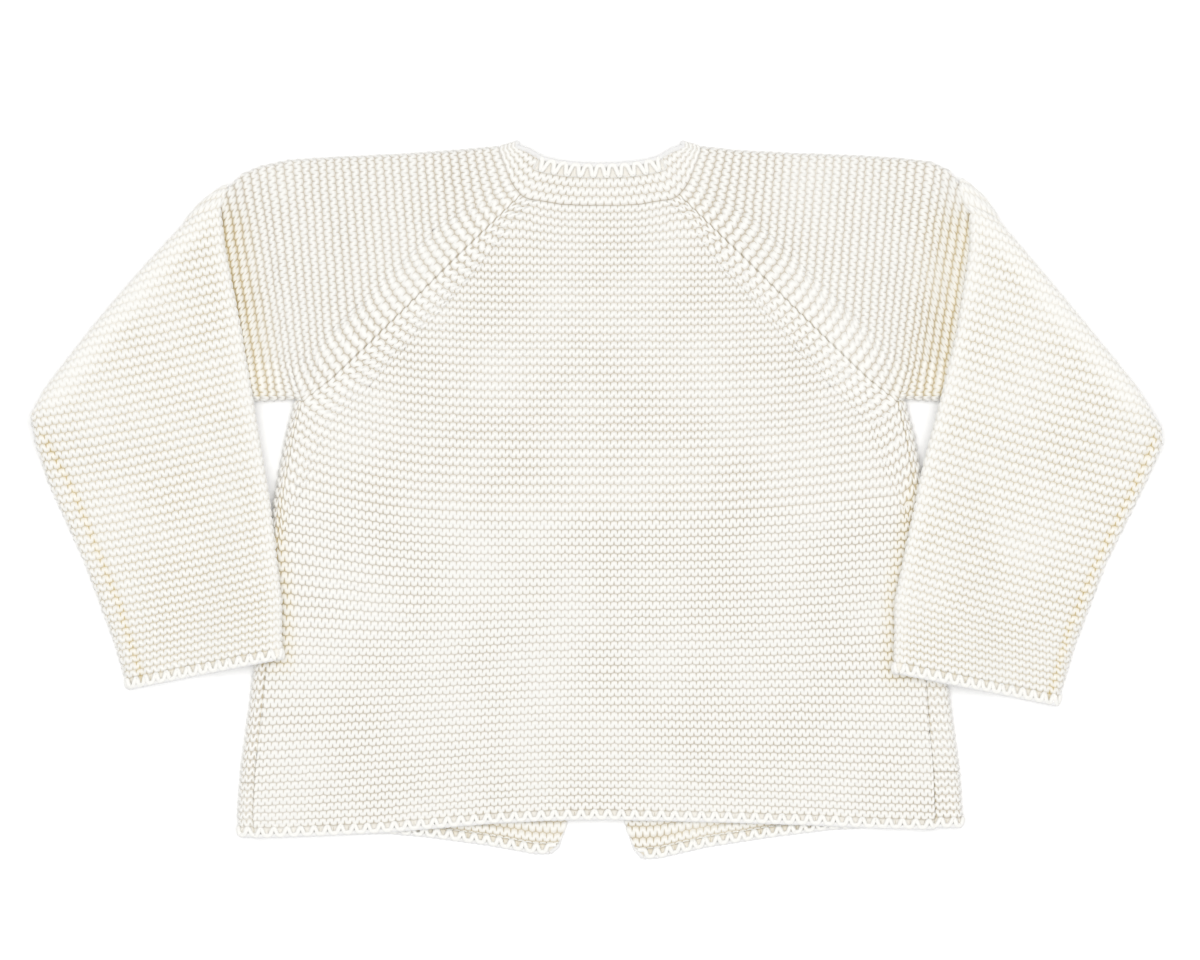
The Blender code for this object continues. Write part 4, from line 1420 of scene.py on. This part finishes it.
cream_wool = yarn_material("cream_wool")
# the upper sleeves get deeper shade painted in their grooves and less in their slits
arm_wool_groove_shaded = yarn_material("cream_wool_groove_shaded", slit_shade=0.5, groove_shade=0.74)
# the folded-down parts get a paler, more golden shade painted in their hollows, a little more of it in the
# grooves
sleeve_wool_paler_shade = yarn_material("cream_wool_folded_over", hollow_shade=(0.65, 0.58, 0.44), groove_shade=0.38)
# the rims' yarn is painted greyer, for the shade on their round sides
rim_wool_shaded = yarn_material("cream_wool_rim", yarn=(0.84, 0.835, 0.825))
FINISHES = {"upper": arm_wool_groove_shaded, "folded": arm_wool_groove_shaded, "lower": sleeve_wool_paler_shade, "rim": rim_wool_shaded}
for name, piece in PIECES.items():
    piece.data.materials.append(FINISHES.get(name.split("_")[-1], cream_wool))
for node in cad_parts.values():
    node.data.materials.clear()
    node.data.materials.append(cream_wool)
print("finishes:", [wool.name for wool in (cream_wool, arm_wool_groove_shaded, sleeve_wool_paler_shade, rim_wool_shaded)])

# %% [markdown]
# ## Camera, light and floor
#
# The camera looks straight down. A wide soft light stands at the neck's end and a bright sky fills
# the shadows, as in a light tent. The white paper glows a little, because such a table is lit from
# below too, so the shadows beside the cardigan stay pale.

# %% The camera
VIEW_WIDTH = 0.48
VIEW_DISTANCE = 2.0
SENSOR = 36
camera = bpy.data.cameras.new("camera")
camera.sensor_width = SENSOR
camera.lens = SENSOR * VIEW_DISTANCE / VIEW_WIDTH
eye = into_scene("camera", camera)
eye.location = (LAID_X * MM, 8.5 * MM, STACK * MM + VIEW_DISTANCE)
bpy.context.scene.camera = eye
print("camera", tuple(round(v, 3) for v in eye.location))

# %% The floor
FLOOR_REACH = 6  # metres from its middle to its sides
floor_mesh = bpy.data.meshes.new("floor")
sheet = bmesh.new()
bmesh.ops.create_grid(sheet, x_segments=1, y_segments=1, size=FLOOR_REACH)
sheet.to_mesh(floor_mesh)
sheet.free()
floor = into_scene("floor", floor_mesh)
PAPER = {"Base Color": (0.97, 0.97, 0.97, 1), "Roughness": 0.95}
GLOW = {"Emission Color": (1, 1, 1, 1), "Emission Strength": 0.07}
floor_mesh.materials.append(surface("white_paper", PAPER | GLOW)[0])
print("the floor is", 2 * FLOOR_REACH, "metres wide")


# %% The light
def soft_light(name, spot, aim, size, power):
    """A rectangular lamp of a size in metres, which looks from its spot at its aim."""
    lamp = bpy.data.lights.new(name, "AREA")
    lamp.shape = "RECTANGLE"
    lamp.size, lamp.size_y = size
    lamp.energy = power
    holder = into_scene(name, lamp)
    holder.location = spot
    holder.rotation_euler = (Vector(spot) - Vector(aim)).to_track_quat("Z", "Y").to_euler()


soft_light("window", (0.0, 0.12, 1.9), (0, 0, 0), (1.8, 1.5), 20.2)
world = bpy.data.worlds.new("light_tent")
world.use_nodes = True
fill(world.node_tree, world.node_tree.nodes["Background"], {"Color": (1, 1, 1, 1), "Strength": 0.66})
bpy.context.scene.world = world
bpy.context.scene.view_settings.view_transform = "Standard"
print("lamps:", [lamp.name for lamp in bpy.data.lights])

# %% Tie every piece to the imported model
SLOTS = {"back": "knit_back", "neck_band": "knit_edging"}
for side in SIDES:
    SLOTS |= {f"front_{side}": "knit_fronts", f"sleeve_{side}": "knit_sleeves"}
for name, piece in PIECES.items():
    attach(piece, "root")
    node = next(node for node in SLOTS if name.startswith(node))
    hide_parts(node)
print(len(PIECES), "pieces ride on the root")

# %% [markdown]
# ## The knitted shells
#
# A flattened tube shows its upper layer, its rolled edges and, from below, a part of its under layer.


print("the knitted shells are made")
